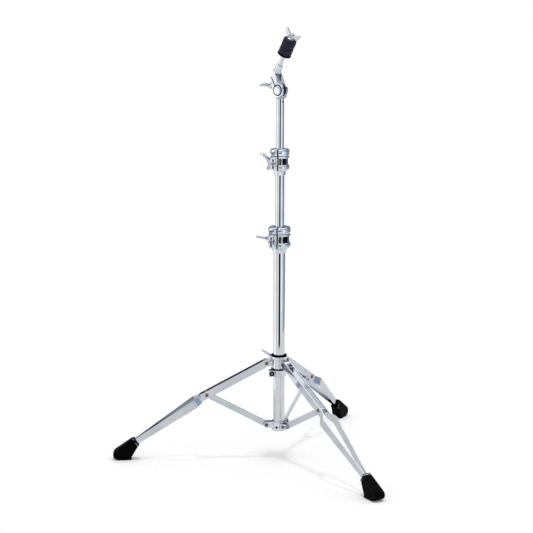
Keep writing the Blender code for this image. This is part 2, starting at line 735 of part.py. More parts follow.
rail_grip = RAIL_Y + RAIL_THICK / 2
ear_grip = LUG_WIDTH / 2 + GAP + EAR_THICK
knee = leg_point(LEG_UPPER, 0.0)
neck = leg_point(LEG_UPPER + LEG_LOWER, 0.0)
for number, azimuth in enumerate(LEG_AZIMUTHS, 1):
    outward = Vector((math.cos(azimuth), math.sin(azimuth), 0.0))
    leg = empty(f"leg_{number}", axis, outward * PIVOT_RADIUS + Vector((0, 0, COLLAR_Z)), (0, 0, azimuth))
    for side, word in ((1, "left"), (-1, "right")):
        label = f"leg_{number}_rail_{word}"
        rail = add(label, rail_mesh(label, side), leg, finish=chrome)
        hole(rail, label + "_top_hole", leg, PIN_R, 4 * LUG_WIDTH, (0, 0, 0))
        hole(rail, label + "_knee_hole", leg, PIN_R, 4 * LUG_WIDTH, knee)

    # Rubber foot on the ends of the two rails
    label = f"leg_{number}_foot"
    foot_turn = empty(label + "_turn", leg, neck, (math.radians(90.0), LOWER_SLOPE, 0))
    foot = add(label, foot_mesh(label), foot_turn, finish=rubber)
    edge = foot.modifiers.new("edges", "BEVEL")
    edge.width = FOOT_EDGE
    edge.segments = 2
    edge.limit_method = "ANGLE"
    edge.angle_limit = math.radians(50.0)
    pocket_depth = RAIL_IN_FOOT + GAP
    pocket_size = (2 * pocket_depth, 2 * (RAIL_END_HALF_HEIGHT + GAP), 2 * (RAIL_NECK_Y + RAIL_THICK / 2 + GAP))
    cut(foot, add(label + "_pocket", box_mesh(label + "_pocket", pocket_size), foot_turn))

    pivot_pin(f"leg_{number}_collar_pin", leg, (0, 0, 0), rail_grip)
    pivot_pin(f"leg_{number}_strut_pin", leg, knee, rail_grip)

    # Brace from the bracket up to the leg
    bracket_pivot = outward * PIVOT_RADIUS + Vector((0, 0, BRACKET_Z))
    strut_base = empty(f"strut_{number}", axis, bracket_pivot, (0, 0, azimuth))
    strut_tilt = (math.radians(90.0), LEG_SPREAD - math.radians(90.0), 0)
    strut_turn = empty(f"strut_{number}_turn", strut_base, rotation=strut_tilt)
    label = f"leg_{number}_strut"
    strut = add(label, plate_mesh(label, strut_outline(), STRUT_THICK), strut_turn, finish=chrome)
    for end, x in (("lower", 0.0), ("upper", LEG_UPPER)):
        sleeve_label = f"{label}_{end}_sleeve"
        sleeve = add(sleeve_label, cylinder_mesh(sleeve_label, SLEEVE_R, LUG_WIDTH), strut_turn, (x, 0, 0))
        join(strut, sleeve)
        hole(strut, f"{label}_{end}_hole", strut_turn, PIN_R, 2 * LUG_WIDTH, (x, 0, 0), (0, 0, 0))
    pivot_pin(f"leg_{number}_bracket_pin", strut_base, (0, 0, 0), ear_grip)


# Tube clamps
def block_bolt(body_r):
    """Where a block's bolt stands: its x, and the y of a front face that clears the round of the clamp."""
    x = -(body_r + BLOCK_REACH) + BLOCK_LENGTH * BLOCK_BOLT_SHARE
    return x, -math.sqrt(body_r ** 2 - (x + BOLT_HEAD_R) ** 2) - GAP


def block(name, parent, body_r, bottom, height):
    """The block at the clamp's left, with its flat face at the front."""
    left = -(body_r + BLOCK_REACH)
    front = block_bolt(body_r)[1]
    size = (BLOCK_LENGTH, BLOCK_BACK - front, height)
    centre = (left + BLOCK_LENGTH / 2, (BLOCK_BACK + front) / 2, bottom + height / 2)
    return add(name, box_mesh(name, size), parent, centre)


def radial_box(name, parent, width, height, inner, outer, angle, middle):
    turn = empty(name + "_turn", parent, (0, 0, middle), (0, 0, angle))
    return add(name, box_mesh(name, (outer - inner, width, height)), turn, ((inner + outer) / 2, 0, 0))


def tube_clamp(prefix, lock_name, bottom, tube_radii, wall, wing_turn):
    """A split clamp on the top of one tube, and the memory lock that the next tube carries."""
    held_r, sliding_r = tube_radii
    body_r = held_r + wall
    waist_r = body_r - WAIST_INSET
    bush_r = waist_r - SHELL_WALL
    clamp = empty(prefix, axis, (0, 0, bottom))
    ring_bottom = CONE_H
    ring_top = CONE_H + RING_H
    rim_bottom = ring_top + WAIST_H

    # Clamp body: cone, ring, windowed waist and rim
    profile = [
        (body_r - 0.0024, CLAMP_H),
        (body_r, CLAMP_H - 0.0026),
        (body_r, rim_bottom),
        (waist_r, rim_bottom),
        (waist_r, ring_top),
        (body_r, ring_top - 0.0010),
        (body_r, ring_bottom + 0.0055),
        (body_r - 0.0012, ring_bottom + 0.0022),
        (body_r - 0.0040, ring_bottom),
        (held_r + CONE_TOP_WALL, ring_bottom),
        (held_r + CONE_BOTTOM_WALL, 0.0),
        (held_r + GAP, 0.0),
        (held_r + GAP, CLAMP_H),
    ]
    body = turned(prefix + "_body", profile, clamp, finish=chrome)
    column_h = CLAMP_H - ring_bottom - 2 * BLOCK_TRIM
    column = block(prefix + "_column", clamp, body_r, ring_bottom + BLOCK_TRIM, column_h)
    join(body, column)
    bore_mesh = cylinder_mesh(prefix + "_bore", bush_r + GAP, CLAMP_H, ROUND_STEPS)
    bore_bottom = TUBE_SEAT + GAP
    cut(body, add(prefix + "_bore", bore_mesh, clamp, (0, 0, bore_bottom + CLAMP_H / 2)))
    window_middle = ring_top + WAIST_H / 2
    window_h = WAIST_H - 2 * WINDOW_LIP
    for k, angle in enumerate(WINDOW_ANGLES, 1):
        label = f"{prefix}_window_{k}"
        turn = math.radians(angle)
        cut(body, radial_box(label, clamp, WINDOW_WIDTH, window_h, held_r, 2 * body_r, turn, window_middle))
    slit_h = 2 * (CLAMP_H - ring_bottom - BLOCK_TRIM)
    cut(body, radial_box(prefix + "_slit", clamp, SLIT_WIDTH, slit_h, held_r, 2 * body_r, SLIT_ANGLE, CLAMP_H))

    # Screw in the front of the block
    bolt_x, front = block_bolt(body_r)
    screw_at = (bolt_x, front, WING_RISE)
    bolt_hole(body, prefix + "_screw_hole", clamp, screw_at, ALONG_MINUS_Y)
    key_bolt(prefix + "_screw", clamp, screw_at, ALONG_MINUS_Y)

    # Wing bolt at the back left, up to the bushing
    radii = (waist_r, bush_r, body_r + CLAMP_BOSS_REACH)
    radial_wing(prefix, body, clamp, CLAMP_WING_ANGLE, WING_RISE, radii, wing_turn)

    # Nylon bushing round the sliding tube
    bushing = ring_profile(bush_r, sliding_r + GAP, TUBE_SEAT + 2 * GAP, CLAMP_H)
    turned(prefix + "_bushing", bushing, clamp, finish=nylon)

    # Memory lock resting on the clamp
    lock_bottom = CLAMP_H + GAP
    lock_top = lock_bottom + LOCK_H
    profile = [
        (body_r - 0.0026, lock_top),
        (body_r - 0.0004, lock_top - 0.0026),
        (body_r, lock_top - 0.0045),
        (body_r, lock_bottom + 0.0026),
        (body_r - 0.0022, lock_bottom),
        (sliding_r + GAP, lock_bottom),
        (sliding_r + GAP, lock_top),
    ]
    lock = turned(lock_name + "_memory_lock", profile, clamp, finish=chrome)
    block_h = LOCK_H - 2 * BLOCK_TRIM
    lock_block = block(lock_name + "_lock_block", clamp, body_r, lock_bottom + BLOCK_TRIM, block_h)
    join(lock, lock_block)
    slit_label = lock_name + "_lock_slit"
    slit_middle = lock_bottom + LOCK_H / 2
    cut(lock, radial_box(slit_label, clamp, SLIT_WIDTH, 2 * LOCK_H, 0.0, 2 * body_r, SLIT_ANGLE, slit_middle))
    lock_bolt_at = (bolt_x, front, slit_middle)
    bolt_hole(lock, lock_name + "_lock_bolt_hole", clamp, lock_bolt_at, ALONG_MINUS_Y)
    key_bolt(lock_name + "_lock_bolt", clamp, lock_bolt_at, ALONG_MINUS_Y)


lower_radii = (BASE_TUBE_R, MIDDLE_TUBE_R)
upper_radii = (MIDDLE_TUBE_R, UPPER_TUBE_R)
tube_clamp("lower_clamp", "middle", LOWER_CLAMP_Z, lower_radii, LOWER_CLAMP_WALL, LOWER_WING_TURN)
tube_clamp("upper_clamp", "upper", UPPER_CLAMP_Z, upper_radii, UPPER_CLAMP_WALL, UPPER_WING_TURN)

# Tilter base: spigot in the tube, stem, rear cheek and the barrel that the arm grips
tilter = empty("tilter", axis, (0, 0, TILTER_Z), (0, 0, TILTER_TURN))
spigot_r = UPPER_TUBE_R - UPPER_TUBE_WALL - GAP
spigot_profile = [
    (0.0, GAP + NECK_FLANGE_H - TILTER_RISE),
    (UPPER_TUBE_R, GAP + NECK_FLANGE_H - TILTER_RISE),
    (UPPER_TUBE_R, GAP - TILTER_RISE),
    (spigot_r, GAP - TILTER_RISE),
    (spigot_r, -SPIGOT_DEPTH - TILTER_RISE),
    (0.0, -SPIGOT_DEPTH - TILTER_RISE),
]
tilter_base = turned("tilter_base", spigot_profile, tilter, finish=chrome)
arm_back = ARM_OFFSET + ARM_THICK / 2
arm_front = ARM_OFFSET - ARM_THICK / 2
cheek_front = arm_back + GAP
stem_bottom = GAP + NECK_FLANGE_H / 2 - TILTER_RISE
cheek_outline = [(-STEM_WIDTH / 2, stem_bottom), (STEM_WIDTH / 2, stem_bottom)]
cheek_outline += arc((0.0, 0.0), CHEEK_R, -35.0, 215.0, 19)
cheek_mesh = plate_mesh("tilter_cheek", cheek_outline, CHEEK_THICK)
cheek = add("tilter_cheek", cheek_mesh, tilter, rotation=UPRIGHT_PLATE)
cheek.location.y = cheek_front + CHEEK_THICK / 2
join(tilter_base, cheek)
barrel_back = cheek_front + CHEEK_THICK / 2
barrel_length = barrel_back - arm_front
barrel_mesh = cylinder_mesh("tilter_barrel", BARREL_R, barrel_length, ROUND_STEPS)
barrel = add("tilter_barrel", barrel_mesh, tilter, (0, (barrel_back + arm_front) / 2, 0), ALONG_Y)
join(tilter_base, barrel)
hole(tilter_base, "cap_stub_hole", tilter, CAP_STUB_R, 2 * (CAP_STUB_L + GAP), (0, arm_front, 0), ALONG_Y)

# Friction bushing between the barrel and the arm
friction_r = BARREL_R + GAP + FRICTION_WALL
ring_back = ARM_RING_THICK - ARM_THICK / 2
friction_profile = [
    (DRUM_R, ARM_THICK / 2),
    (DRUM_R, ring_back + GAP),
    (friction_r, ring_back + GAP),
    (friction_r, -ARM_THICK / 2),
    (BARREL_R + GAP, -ARM_THICK / 2),
    (BARREL_R + GAP, ARM_THICK / 2),
]
turned("tilter_bushing", friction_profile, tilter, (0, ARM_OFFSET, 0), ALONG_Y, nylon)

# End cap in front of the barrel
cap_profile = [
    (0.0, CAP_H + GAP),
    (CAP_R * 0.6, CAP_H * 0.92 + GAP),
    (CAP_R * 0.9, CAP_H * 0.65 + GAP),
    (CAP_R, CAP_H * 0.3 + GAP),
    (CAP_R, GAP),
    (CAP_STUB_R, GAP),
    (CAP_STUB_R, -CAP_STUB_L),
    (0.0, -CAP_STUB_L),
]
turned("tilter_cap", cap_profile, tilter, (0, arm_front, 0), ALONG_MINUS_Y, chrome)

# Tilter arm: split ring, flap for the wing bolt, web that slopes back on the right, and the rod's boss
arm_bore = friction_r + GAP
arm_r = arm_bore + ARM_WALL
slot_along = Vector((-math.sin(SLOT_LEAN), math.cos(SLOT_LEAN)))
slot_across = Vector((-math.cos(SLOT_LEAN), -math.sin(SLOT_LEAN)))
slot_middle = Vector(SLOT_MIDDLE)
flap_face = slot_middle + slot_across * FLAP_THICK
flap_low = flap_face - slot_along * FLAP_HALF_LENGTH
flap_high = flap_face + slot_along * FLAP_HALF_LENGTH
boss_top = Vector(BOSS_TOP)
rod_along = Vector((math.sin(ROD_LEAN), math.cos(ROD_LEAN)))
rod_across = Vector((math.cos(ROD_LEAN), -math.sin(ROD_LEAN)))
boss_foot = boss_top - rod_along * BOSS_L
web_left = boss_foot - rod_across * BOSS_R + rod_along * 0.002
web_right = boss_foot + rod_across * BOSS_R + rod_along * 0.004
arm_outline = arc((0.0, 0.0), arm_r, -185.0, 20.0, 21)
arm_outline += [tuple(web_right), tuple(web_left), tuple(flap_high + slot_along * 0.006 - slot_across * 0.006)]
arm_outline += [tuple(flap_high), tuple(flap_low)]
arm_mesh = plate_mesh("tilter_arm", arm_outline, ARM_THICK)
arm = add("tilter_arm", arm_mesh, tilter, (0, ARM_OFFSET, 0), UPRIGHT_PLATE, chrome)
slope_start = Vector((SLOPE_FRONT, arm_front, SLOPE_RISE))
slope_back = Vector((SLOPE_BACK, arm_back, SLOPE_RISE))
slope_up = Vector((-math.sin(SLOPE_LEAN), 0.0, math.cos(SLOPE_LEAN)))
slope_out = (slope_back - slope_start).cross(slope_up).normalized()
slope_place = slope_start + slope_out * (SLOPE_TOOL / 2)
slope_turn = slope_out.to_track_quat("X", "Z").to_euler()
slope_mesh = box_mesh("arm_slope", (SLOPE_TOOL, SLOPE_TOOL, SLOPE_TOOL))
cut(arm, add("arm_slope", slope_mesh, tilter, slope_place, slope_turn))
ring_mesh = cylinder_mesh("arm_ring", arm_r, ARM_THICK, ROUND_STEPS)
join(arm, add("arm_ring", ring_mesh, tilter, (0, ARM_OFFSET, 0), ALONG_Y))
boss_middle = boss_top - rod_along * (BOSS_L / 2)
rod_rotation = (0, ROD_LEAN, 0)
boss_location = (boss_middle.x, ARM_OFFSET, boss_middle.y)
rod_boss_mesh = cylinder_mesh("rod_boss", BOSS_R, BOSS_L, ROUND_STEPS)
join(arm, add("rod_boss", rod_boss_mesh, tilter, boss_location, rod_rotation))
bore_mesh = cylinder_mesh("arm_bore", arm_bore, 2 * ARM_THICK, ROUND_STEPS)
cut(arm, add("arm_bore", bore_mesh, tilter, (0, ARM_OFFSET, 0), ALONG_Y))
recess_mesh = cylinder_mesh("arm_recess", arm_r + GAP, 2 * ARM_THICK, ROUND_STEPS)
cut(arm, add("arm_recess", recess_mesh, tilter, (0, ARM_OFFSET + ring_back + ARM_THICK, 0), ALONG_Y))
slope_middle = (slope_start + slope_back) / 2
slope_hole_turn = slope_out.to_track_quat("Z", "Y").to_euler()
hole(arm, "arm_slope_hole", tilter, SLOPE_HOLE_R, 2 * SLOPE_HOLE_DEPTH, slope_middle, slope_hole_turn)
slot_at = slot_middle + slot_along * (SLOT_LENGTH * 0.08)
slot_size = (SLOT_WIDTH, 2 * ARM_THICK, SLOT_LENGTH)
slot_place = (slot_at.x, ARM_OFFSET, slot_at.y)
slot = add("arm_slot", box_mesh("arm_slot", slot_size), tilter, slot_place, (0, -SLOT_LEAN, 0))
cut(arm, slot)
rod_hole_middle = boss_top - rod_along * (BOSS_HOLE / 2 - BOSS_HOLE)
rod_hole_at = (rod_hole_middle.x, ARM_OFFSET, rod_hole_middle.y)
hole(arm, "rod_hole", tilter, ROD_R, 3 * BOSS_HOLE, rod_hole_at, rod_rotation)

# Wing bolt across the arm's slot
bolt_rotation = (0, math.radians(-90.0) - SLOT_LEAN, 0)
flap_at = (flap_face.x, ARM_OFFSET, flap_face.y)
arm_bolt_depth = FLAP_THICK + ARM_BOLT_L + GAP
hole(arm, "arm_bolt_hole", tilter, WING_SHANK_R, 2 * arm_bolt_depth, flap_at, bolt_rotation)
arm_lobes_mesh = blade_lobes("tilter_wing_lobes", BLADE_SPAN, BLADE_REACH, WING_HUB_H)
arm_wing = wing_bolt("tilter_wing_bolt", tilter, flap_at, arm_lobes_mesh, FLAP_THICK + ARM_BOLT_L)
arm_wing_turn = Matrix.Rotation(bolt_rotation[1], 3, "Y") @ Matrix.Rotation(TILTER_WING_TURN, 3, "Z")
arm_wing.rotation_euler = arm_wing_turn.to_euler()

# Set screw that holds the tilter base in the tube
set_turn = empty("set_screw_turn", axis, (0, 0, UPPER_TOP - SET_SCREW_DROP), (0, 0, math.radians(-56.0)))
set_profile = [
    (0.0, 0.0009),
    (SET_SCREW_R, 0.0009),
    (SET_SCREW_R, -SET_SCREW_DEPTH),
    (0.0, -SET_SCREW_DEPTH),
]
turned("tilter_set_screw", set_profile, set_turn, (UPPER_TUBE_R, 0, 0), ALONG_X, steel, SMALL_STEPS)
for target, label in ((upper_tube, "tube_screw_hole"), (tilter_base, "spigot_screw_hole")):
    hole(target, label, set_turn, SET_SCREW_R, 2 * (SET_SCREW_DEPTH + GAP), (UPPER_TUBE_R, 0, 0), ALONG_X)

# Cymbal post, along the rod's axis from the top of its boss
post = empty("cymbal_post", tilter, (boss_top.x, ARM_OFFSET, boss_top.y), rod_rotation)
seat_bottom = ROD_SHOULDER + GAP
seat_top = seat_bottom + SEAT_H
felt_bottom = seat_top + GAP
upper_felt_bottom = felt_bottom + FELT_H + GAP
stack_top = upper_felt_bottom + FELT_H
nut_bottom = stack_top + 2 * GAP
nut_top = nut_bottom + NUT_H
rod_top = nut_top + ROD_ABOVE_NUT
rod_profile = [
    (0.0, rod_top),
    (ROD_THREAD_R - 0.0010, rod_top),
    (ROD_THREAD_R, rod_top - 0.0010),
    (ROD_THREAD_R, ROD_SHOULDER),
    (ROD_R, ROD_SHOULDER - 0.0006),
    (ROD_R, -BOSS_HOLE + GAP),
    (0.0, -BOSS_HOLE + GAP),
]
turned("cymbal_rod", rod_profile, post, finish=chrome)
rod_bore = ROD_THREAD_R + GAP
sleeve_r = rod_bore + SLEEVE_WALL
felt_bore = sleeve_r + GAP
seat_profile = [
    (SEAT_R - 0.0012, seat_top),
    (SEAT_R, seat_top - 0.0012),
    (SEAT_R, seat_bottom + 0.0012),
    (SEAT_R - 0.0012, seat_bottom),
    (rod_bore, seat_bottom),
    (rod_bore, seat_top),
]
turned("seat_washer", seat_profile, post, finish=nylon)
turned("rod_sleeve", ring_profile(sleeve_r, rod_bore, felt_bottom, stack_top), post, finish=nylon)


def felt_profile(bottom):
    top = bottom + FELT_H
    soft = 0.0015
    return [
        (FELT_R - soft, top),
        (FELT_R, top - soft),
        (FELT_R, bottom + soft),
        (FELT_R - soft, bottom),
        (felt_bore, bottom),
        (felt_bore, top),
    ]


turned("lower_felt", felt_profile(felt_bottom), post, finish=felt)
turned("upper_felt", felt_profile(upper_felt_bottom), post, finish=felt)

# Wing nut on the rod's thread
nut_profile = [
    (0.0, NUT_H),
    (NUT_HUB_R * 0.8, NUT_H),
    (NUT_HUB_R, NUT_H * 0.5),
    (NUT_HUB_R, NUT_FLANGE_H),
    (NUT_FLANGE_R, NUT_FLANGE_H * 0.8),
    (NUT_FLANGE_R, 0.0),
    (0.0, 0.0),
]
nut = turned("top_wing_nut", nut_profile, post, (0, 0, nut_bottom), (0, 0, NUT_TURN), chrome)
nut_lobes_mesh = blade_lobes("nut_lobes", NUT_SPAN, NUT_REACH, NUT_H)
join(nut, add("nut_lobes", nut_lobes_mesh, nut, rotation=UPRIGHT_PLATE))
hole(nut, "nut_bore", nut, ROD_THREAD_R, 4 * NUT_H, (0, 0, NUT_H), (0, 0, 0))

bpy.context.view_layer.update()
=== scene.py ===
"""Looks of the straight cymbal stand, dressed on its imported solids, in metres with +Z up."""
import json
import math

import bpy
from mathutils import Matrix, Vector


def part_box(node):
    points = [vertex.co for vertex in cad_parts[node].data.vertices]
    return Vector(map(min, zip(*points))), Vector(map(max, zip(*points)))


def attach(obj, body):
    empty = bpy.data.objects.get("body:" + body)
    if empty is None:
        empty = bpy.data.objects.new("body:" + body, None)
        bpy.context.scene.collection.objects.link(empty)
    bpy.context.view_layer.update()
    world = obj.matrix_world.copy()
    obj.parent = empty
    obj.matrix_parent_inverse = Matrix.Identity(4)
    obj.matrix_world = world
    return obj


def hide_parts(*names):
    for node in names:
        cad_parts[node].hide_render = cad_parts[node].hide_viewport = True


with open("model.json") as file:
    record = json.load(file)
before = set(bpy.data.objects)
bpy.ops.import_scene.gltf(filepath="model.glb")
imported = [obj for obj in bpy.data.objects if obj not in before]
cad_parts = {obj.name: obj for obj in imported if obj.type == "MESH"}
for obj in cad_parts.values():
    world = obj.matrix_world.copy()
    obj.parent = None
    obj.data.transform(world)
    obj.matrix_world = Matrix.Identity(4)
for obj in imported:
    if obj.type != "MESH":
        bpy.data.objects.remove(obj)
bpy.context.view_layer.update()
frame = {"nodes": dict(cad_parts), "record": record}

# Camera
# A long lens about 3.8 m in front of the stand and a little above its top, looking slightly down, as in the
# photograph. The distances are from the foot of the tubes' axis, and the lens is for a 36 mm square frame.
tube_low, tube_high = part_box("base_tube")
tube_axis = Vector(((tube_low.x + tube_high.x) / 2, (tube_low.y + tube_high.y) / 2, 0.0))
VIEW_TURN = math.radians(-4.6)
VIEW_PITCH = math.radians(11.21)
VIEW_YAW = math.radians(-0.47)
VIEW_ROLL = math.radians(0.18)
VIEW_STAND = Vector((0.0, -3.811, 1.2335))
VIEW_REACH = 100.0
SENSOR = 36.0
FOCAL_PIXELS = 1604.0
PHOTO_PIXELS = 533.0
forward = Vector((
    math.sin(VIEW_YAW) * math.cos(VIEW_PITCH),
    math.cos(VIEW_YAW) * math.cos(VIEW_PITCH),
    -math.sin(VIEW_PITCH),
))
level = Vector((math.cos(VIEW_YAW), -math.sin(VIEW_YAW), 0.0))
upward = level.cross(forward)
right = level * math.cos(VIEW_ROLL) + upward * math.sin(VIEW_ROLL)
upward = upward * math.cos(VIEW_ROLL) - level * math.sin(VIEW_ROLL)
lens_turn = Matrix((right, upward, -forward)).transposed().to_4x4()
lens = bpy.data.cameras.new("camera")
lens.sensor_fit = "HORIZONTAL"
lens.sensor_width = SENSOR
lens.lens = SENSOR * FOCAL_PIXELS / PHOTO_PIXELS
lens.clip_end = VIEW_REACH
camera = bpy.data.objects.new("camera", lens)
bpy.context.scene.collection.objects.link(camera)
stand_turn = Matrix.Rotation(VIEW_TURN, 4, "Z")
camera.matrix_world = Matrix.Translation(tube_axis) @ stand_turn @ Matrix.Translation(VIEW_STAND) @ lens_turn
bpy.context.scene.camera = camera
bpy.context.scene.view_settings.view_transform = "Standard"


# Studio
# A white sweep under soft light. Chrome shows only what stands round it, so the room is white on the left,
# grey from there to the front, dim in a strip where the camera stands, bright on the right and cooler behind
# that. The overhead lamp gives the soft shadow under the feet.
def linear(hex_colour):
    """An sRGB hex colour as linear red, green, blue and alpha."""
    shares = [int(hex_colour[k:k + 2], 16) / 255.0 for k in (1, 3, 5)]
    return tuple(s / 12.92 if s <= 0.04045 else ((s + 0.055) / 1.055) ** 2.4 for s in shares) + (1.0,)


def add_node(tree, kind, values=None, links=None, **settings):
    """One node with its settings, its sockets' values and the sockets that feed it."""
    made = tree.nodes.new(kind)
    for key, value in settings.items():
        setattr(made, key, value)
    for socket, value in (values or {}).items():
        made.inputs[socket].default_value = value
    for socket, source in (links or {}).items():
        tree.links.new(source, made.inputs[socket])
    return made


def set_ramp(ramp_node, stops):
    """Colour stops of (place, hex) on a ramp."""
    ramp = ramp_node.color_ramp
    while len(ramp.elements) > 1:
        ramp.elements.remove(ramp.elements[-1])
    ramp.elements[0].position = stops[0][0]
    ramp.elements[0].color = linear(stops[0][1])
    for place, hex_colour in stops[1:]:
        ramp.elements.new(place).color = linear(hex_colour)


# Stops run round the room: 0 behind, a quarter at the left, a half in front, three quarters at the right.
ROOM_SIDES = (
    (0.00, "#78828f"),
    (0.10, "#a8acb3"),
    (0.15, "#c4c8cd"),
    (0.19, "#ffffff"),
    (0.27, "#ffffff"),
    (0.315, "#c4c5c9"),
    (0.35, "#c2c3c6"),
    (0.385, "#dcdddf"),
    (0.43, "#e6e4e3"),
    (0.62, "#eaf2f5"),
    (0.66, "#c6d0da"),
    (0.695, "#b6c2ce"),
    (0.715, "#a4afbe"),
    (0.745, "#8d96a8"),
    (0.78, "#7c849b"),
    (1.00, "#78828f"),
)
DIM_STRIP = (
    (0.450, "#c6c1bd"),
    (0.460, "#1c1817"),
    (0.546, "#141212"),
    (0.556, "#e6eef2"),
)
# Stops run from straight down to straight up.
ROOM_UP = (
    (0.00, "#ffffff"),
    (0.53, "#e8eaee"),
    (0.60, "#cfd5dc"),
    (0.68, "#aab1bc"),
    (0.76, "#c9ced6"),
    (0.84, "#ffffff"),
)
WALL_TOP_FROM = 0.01
WALL_TOP_TO = 0.08
WALL_FOOT_FROM = -0.26
WALL_FOOT_TO = -0.32
CEILING_FROM = 0.55
CEILING_TO = 0.68
ROOM_STRENGTH = 1.65
PAPER_LIGHT = 0.88
OVERHEAD_ENERGY = 0.85
OVERHEAD_SPREAD = math.radians(7.0)
WHITE = linear("#ffffff")
world = bpy.data.worlds.new("studio")
bpy.context.scene.world = world
world.use_nodes = True
room = world.node_tree
room.nodes.clear()
direction = add_node(room, "ShaderNodeTexCoord")
parts = add_node(room, "ShaderNodeSeparateXYZ", links={0: direction.outputs["Generated"]})
front = add_node(room, "ShaderNodeMath", {1: -1.0}, {0: parts.outputs["Y"]}, operation="MULTIPLY")
across = {0: parts.outputs["X"], 1: front.outputs[0]}
round_angle = add_node(room, "ShaderNodeMath", links=across, operation="ARCTAN2")
round_share = add_node(room, "ShaderNodeMapRange", {1: -math.pi, 2: math.pi}, {0: round_angle.outputs[0]})
round_ramp = add_node(room, "ShaderNodeValToRGB", links={0: round_share.outputs[0]})
set_ramp(round_ramp, sorted(ROOM_SIDES + DIM_STRIP))
side_ramp = add_node(room, "ShaderNodeValToRGB", links={0: round_share.outputs[0]})
set_ramp(side_ramp, ROOM_SIDES)
up_share = add_node(room, "ShaderNodeMapRange", {1: -1.0, 2: 1.0}, {0: parts.outputs["Z"]})
up_ramp = add_node(room, "ShaderNodeValToRGB", links={0: up_share.outputs[0]})
set_ramp(up_ramp, ROOM_UP)
height = {0: parts.outputs["Z"]}
wall_top = add_node(room, "ShaderNodeMapRange", {1: WALL_TOP_FROM, 2: WALL_TOP_TO}, height)
wall_foot = add_node(room, "ShaderNodeMapRange", {1: WALL_FOOT_FROM, 2: WALL_FOOT_TO}, height)
wall_ends = {0: wall_top.outputs[0], 1: wall_foot.outputs[0]}
off_wall = add_node(room, "ShaderNodeMath", links=wall_ends, operation="MAXIMUM")
walls = add_node(room, "ShaderNodeMix", links={0: off_wall.outputs[0]}, data_type="RGBA")
room.links.new(round_ramp.outputs[0], walls.inputs[6])
upper = add_node(room, "ShaderNodeMix", {0: 1.0}, data_type="RGBA", blend_type="MULTIPLY")
room.links.new(side_ramp.outputs[0], upper.inputs[6])
room.links.new(up_ramp.outputs[0], upper.inputs[7])
room.links.new(upper.outputs[2], walls.inputs[7])
ceiling = add_node(room, "ShaderNodeMapRange", {1: CEILING_FROM, 2: CEILING_TO}, height)
both = add_node(room, "ShaderNodeMix", {7: WHITE}, {0: ceiling.outputs[0]}, data_type="RGBA")
room.links.new(walls.outputs[2], both.inputs[6])
even = add_node(room, "ShaderNodeBackground", {0: WHITE, 1: PAPER_LIGHT})
backdrop = add_node(room, "ShaderNodeBackground", {0: WHITE, 1: 1.0})
mirrored = add_node(room, "ShaderNodeBackground", {1: ROOM_STRENGTH}, {0: both.outputs[2]})
path = add_node(room, "ShaderNodeLightPath")
seen = add_node(room, "ShaderNodeMixShader", links={0: path.outputs["Is Camera Ray"]})
room.links.new(even.outputs[0], seen.inputs[1])
room.links.new(backdrop.outputs[0], seen.inputs[2])
choice = add_node(room, "ShaderNodeMixShader", links={0: path.outputs["Is Glossy Ray"]})
room.links.new(seen.outputs[0], choice.inputs[1])
room.links.new(mirrored.outputs[0], choice.inputs[2])
add_node(room, "ShaderNodeOutputWorld", links={0: choice.outputs[0]})
overhead = bpy.data.lights.new("overhead", "SUN")
overhead.energy = OVERHEAD_ENERGY
overhead.angle = OVERHEAD_SPREAD
lamp = bpy.data.objects.new("overhead", overhead)
bpy.context.scene.collection.objects.link(lamp)

# Floor
# Plain white paper, rolled out under the stand. It ends a step in front of it and a little beyond its left
# foot, so that the plating mirrors the room there.
PAPER_FRONT = -1.12
PAPER_BACK = 6.0
PAPER_LEFT = -0.52
PAPER_RIGHT = 1.40
PAPER_TOOTH_MM = 2.5
bpy.ops.object.select_all(action="DESELECT")
paper_middle = ((PAPER_LEFT + PAPER_RIGHT) / 2, (PAPER_FRONT + PAPER_BACK) / 2, 0.0)
bpy.ops.mesh.primitive_plane_add(size=2.0, location=paper_middle)
floor = bpy.context.object
floor.name = "floor"
floor.scale = ((PAPER_RIGHT - PAPER_LEFT) / 2, (PAPER_BACK - PAPER_FRONT) / 2, 1.0)
bpy.ops.object.transform_apply(location=True, rotation=True, scale=True)
# Uncoated white paper: matt and even, with a slight tooth that is drawn 2.5 mm wide, so that it shows.
paper = bpy.data.materials.new("matt_white_paper")
paper.use_nodes = True
tooth_values = {"Scale": 1000.0 / PAPER_TOOTH_MM, "Detail": 3.0}
paper_tooth = add_node(paper.node_tree, "ShaderNodeTexNoise", tooth_values)
paper_tint = add_node(paper.node_tree, "ShaderNodeValToRGB", links={0: paper_tooth.outputs[0]})
set_ramp(paper_tint, ((0.3, "#f2f2f3"), (0.7, "#f7f7f7")))
paper_shader = paper.node_tree.nodes["Principled BSDF"]
paper.node_tree.links.new(paper_tint.outputs[0], paper_shader.inputs["Base Color"])
paper_shader.inputs["Roughness"].default_value = 0.9
paper_shader.inputs["Specular IOR Level"].default_value = 0.1
floor.data.materials.append(paper)


# Tubes
# Three drawn steel tubes, buffed and chrome plated, each telescoping into the one below. The cut ends are
# turned to a small radius.
SEAM = 0.000002
SMOOTH_ANGLE = math.radians(32.0)
FACE_WEIGHT = 80


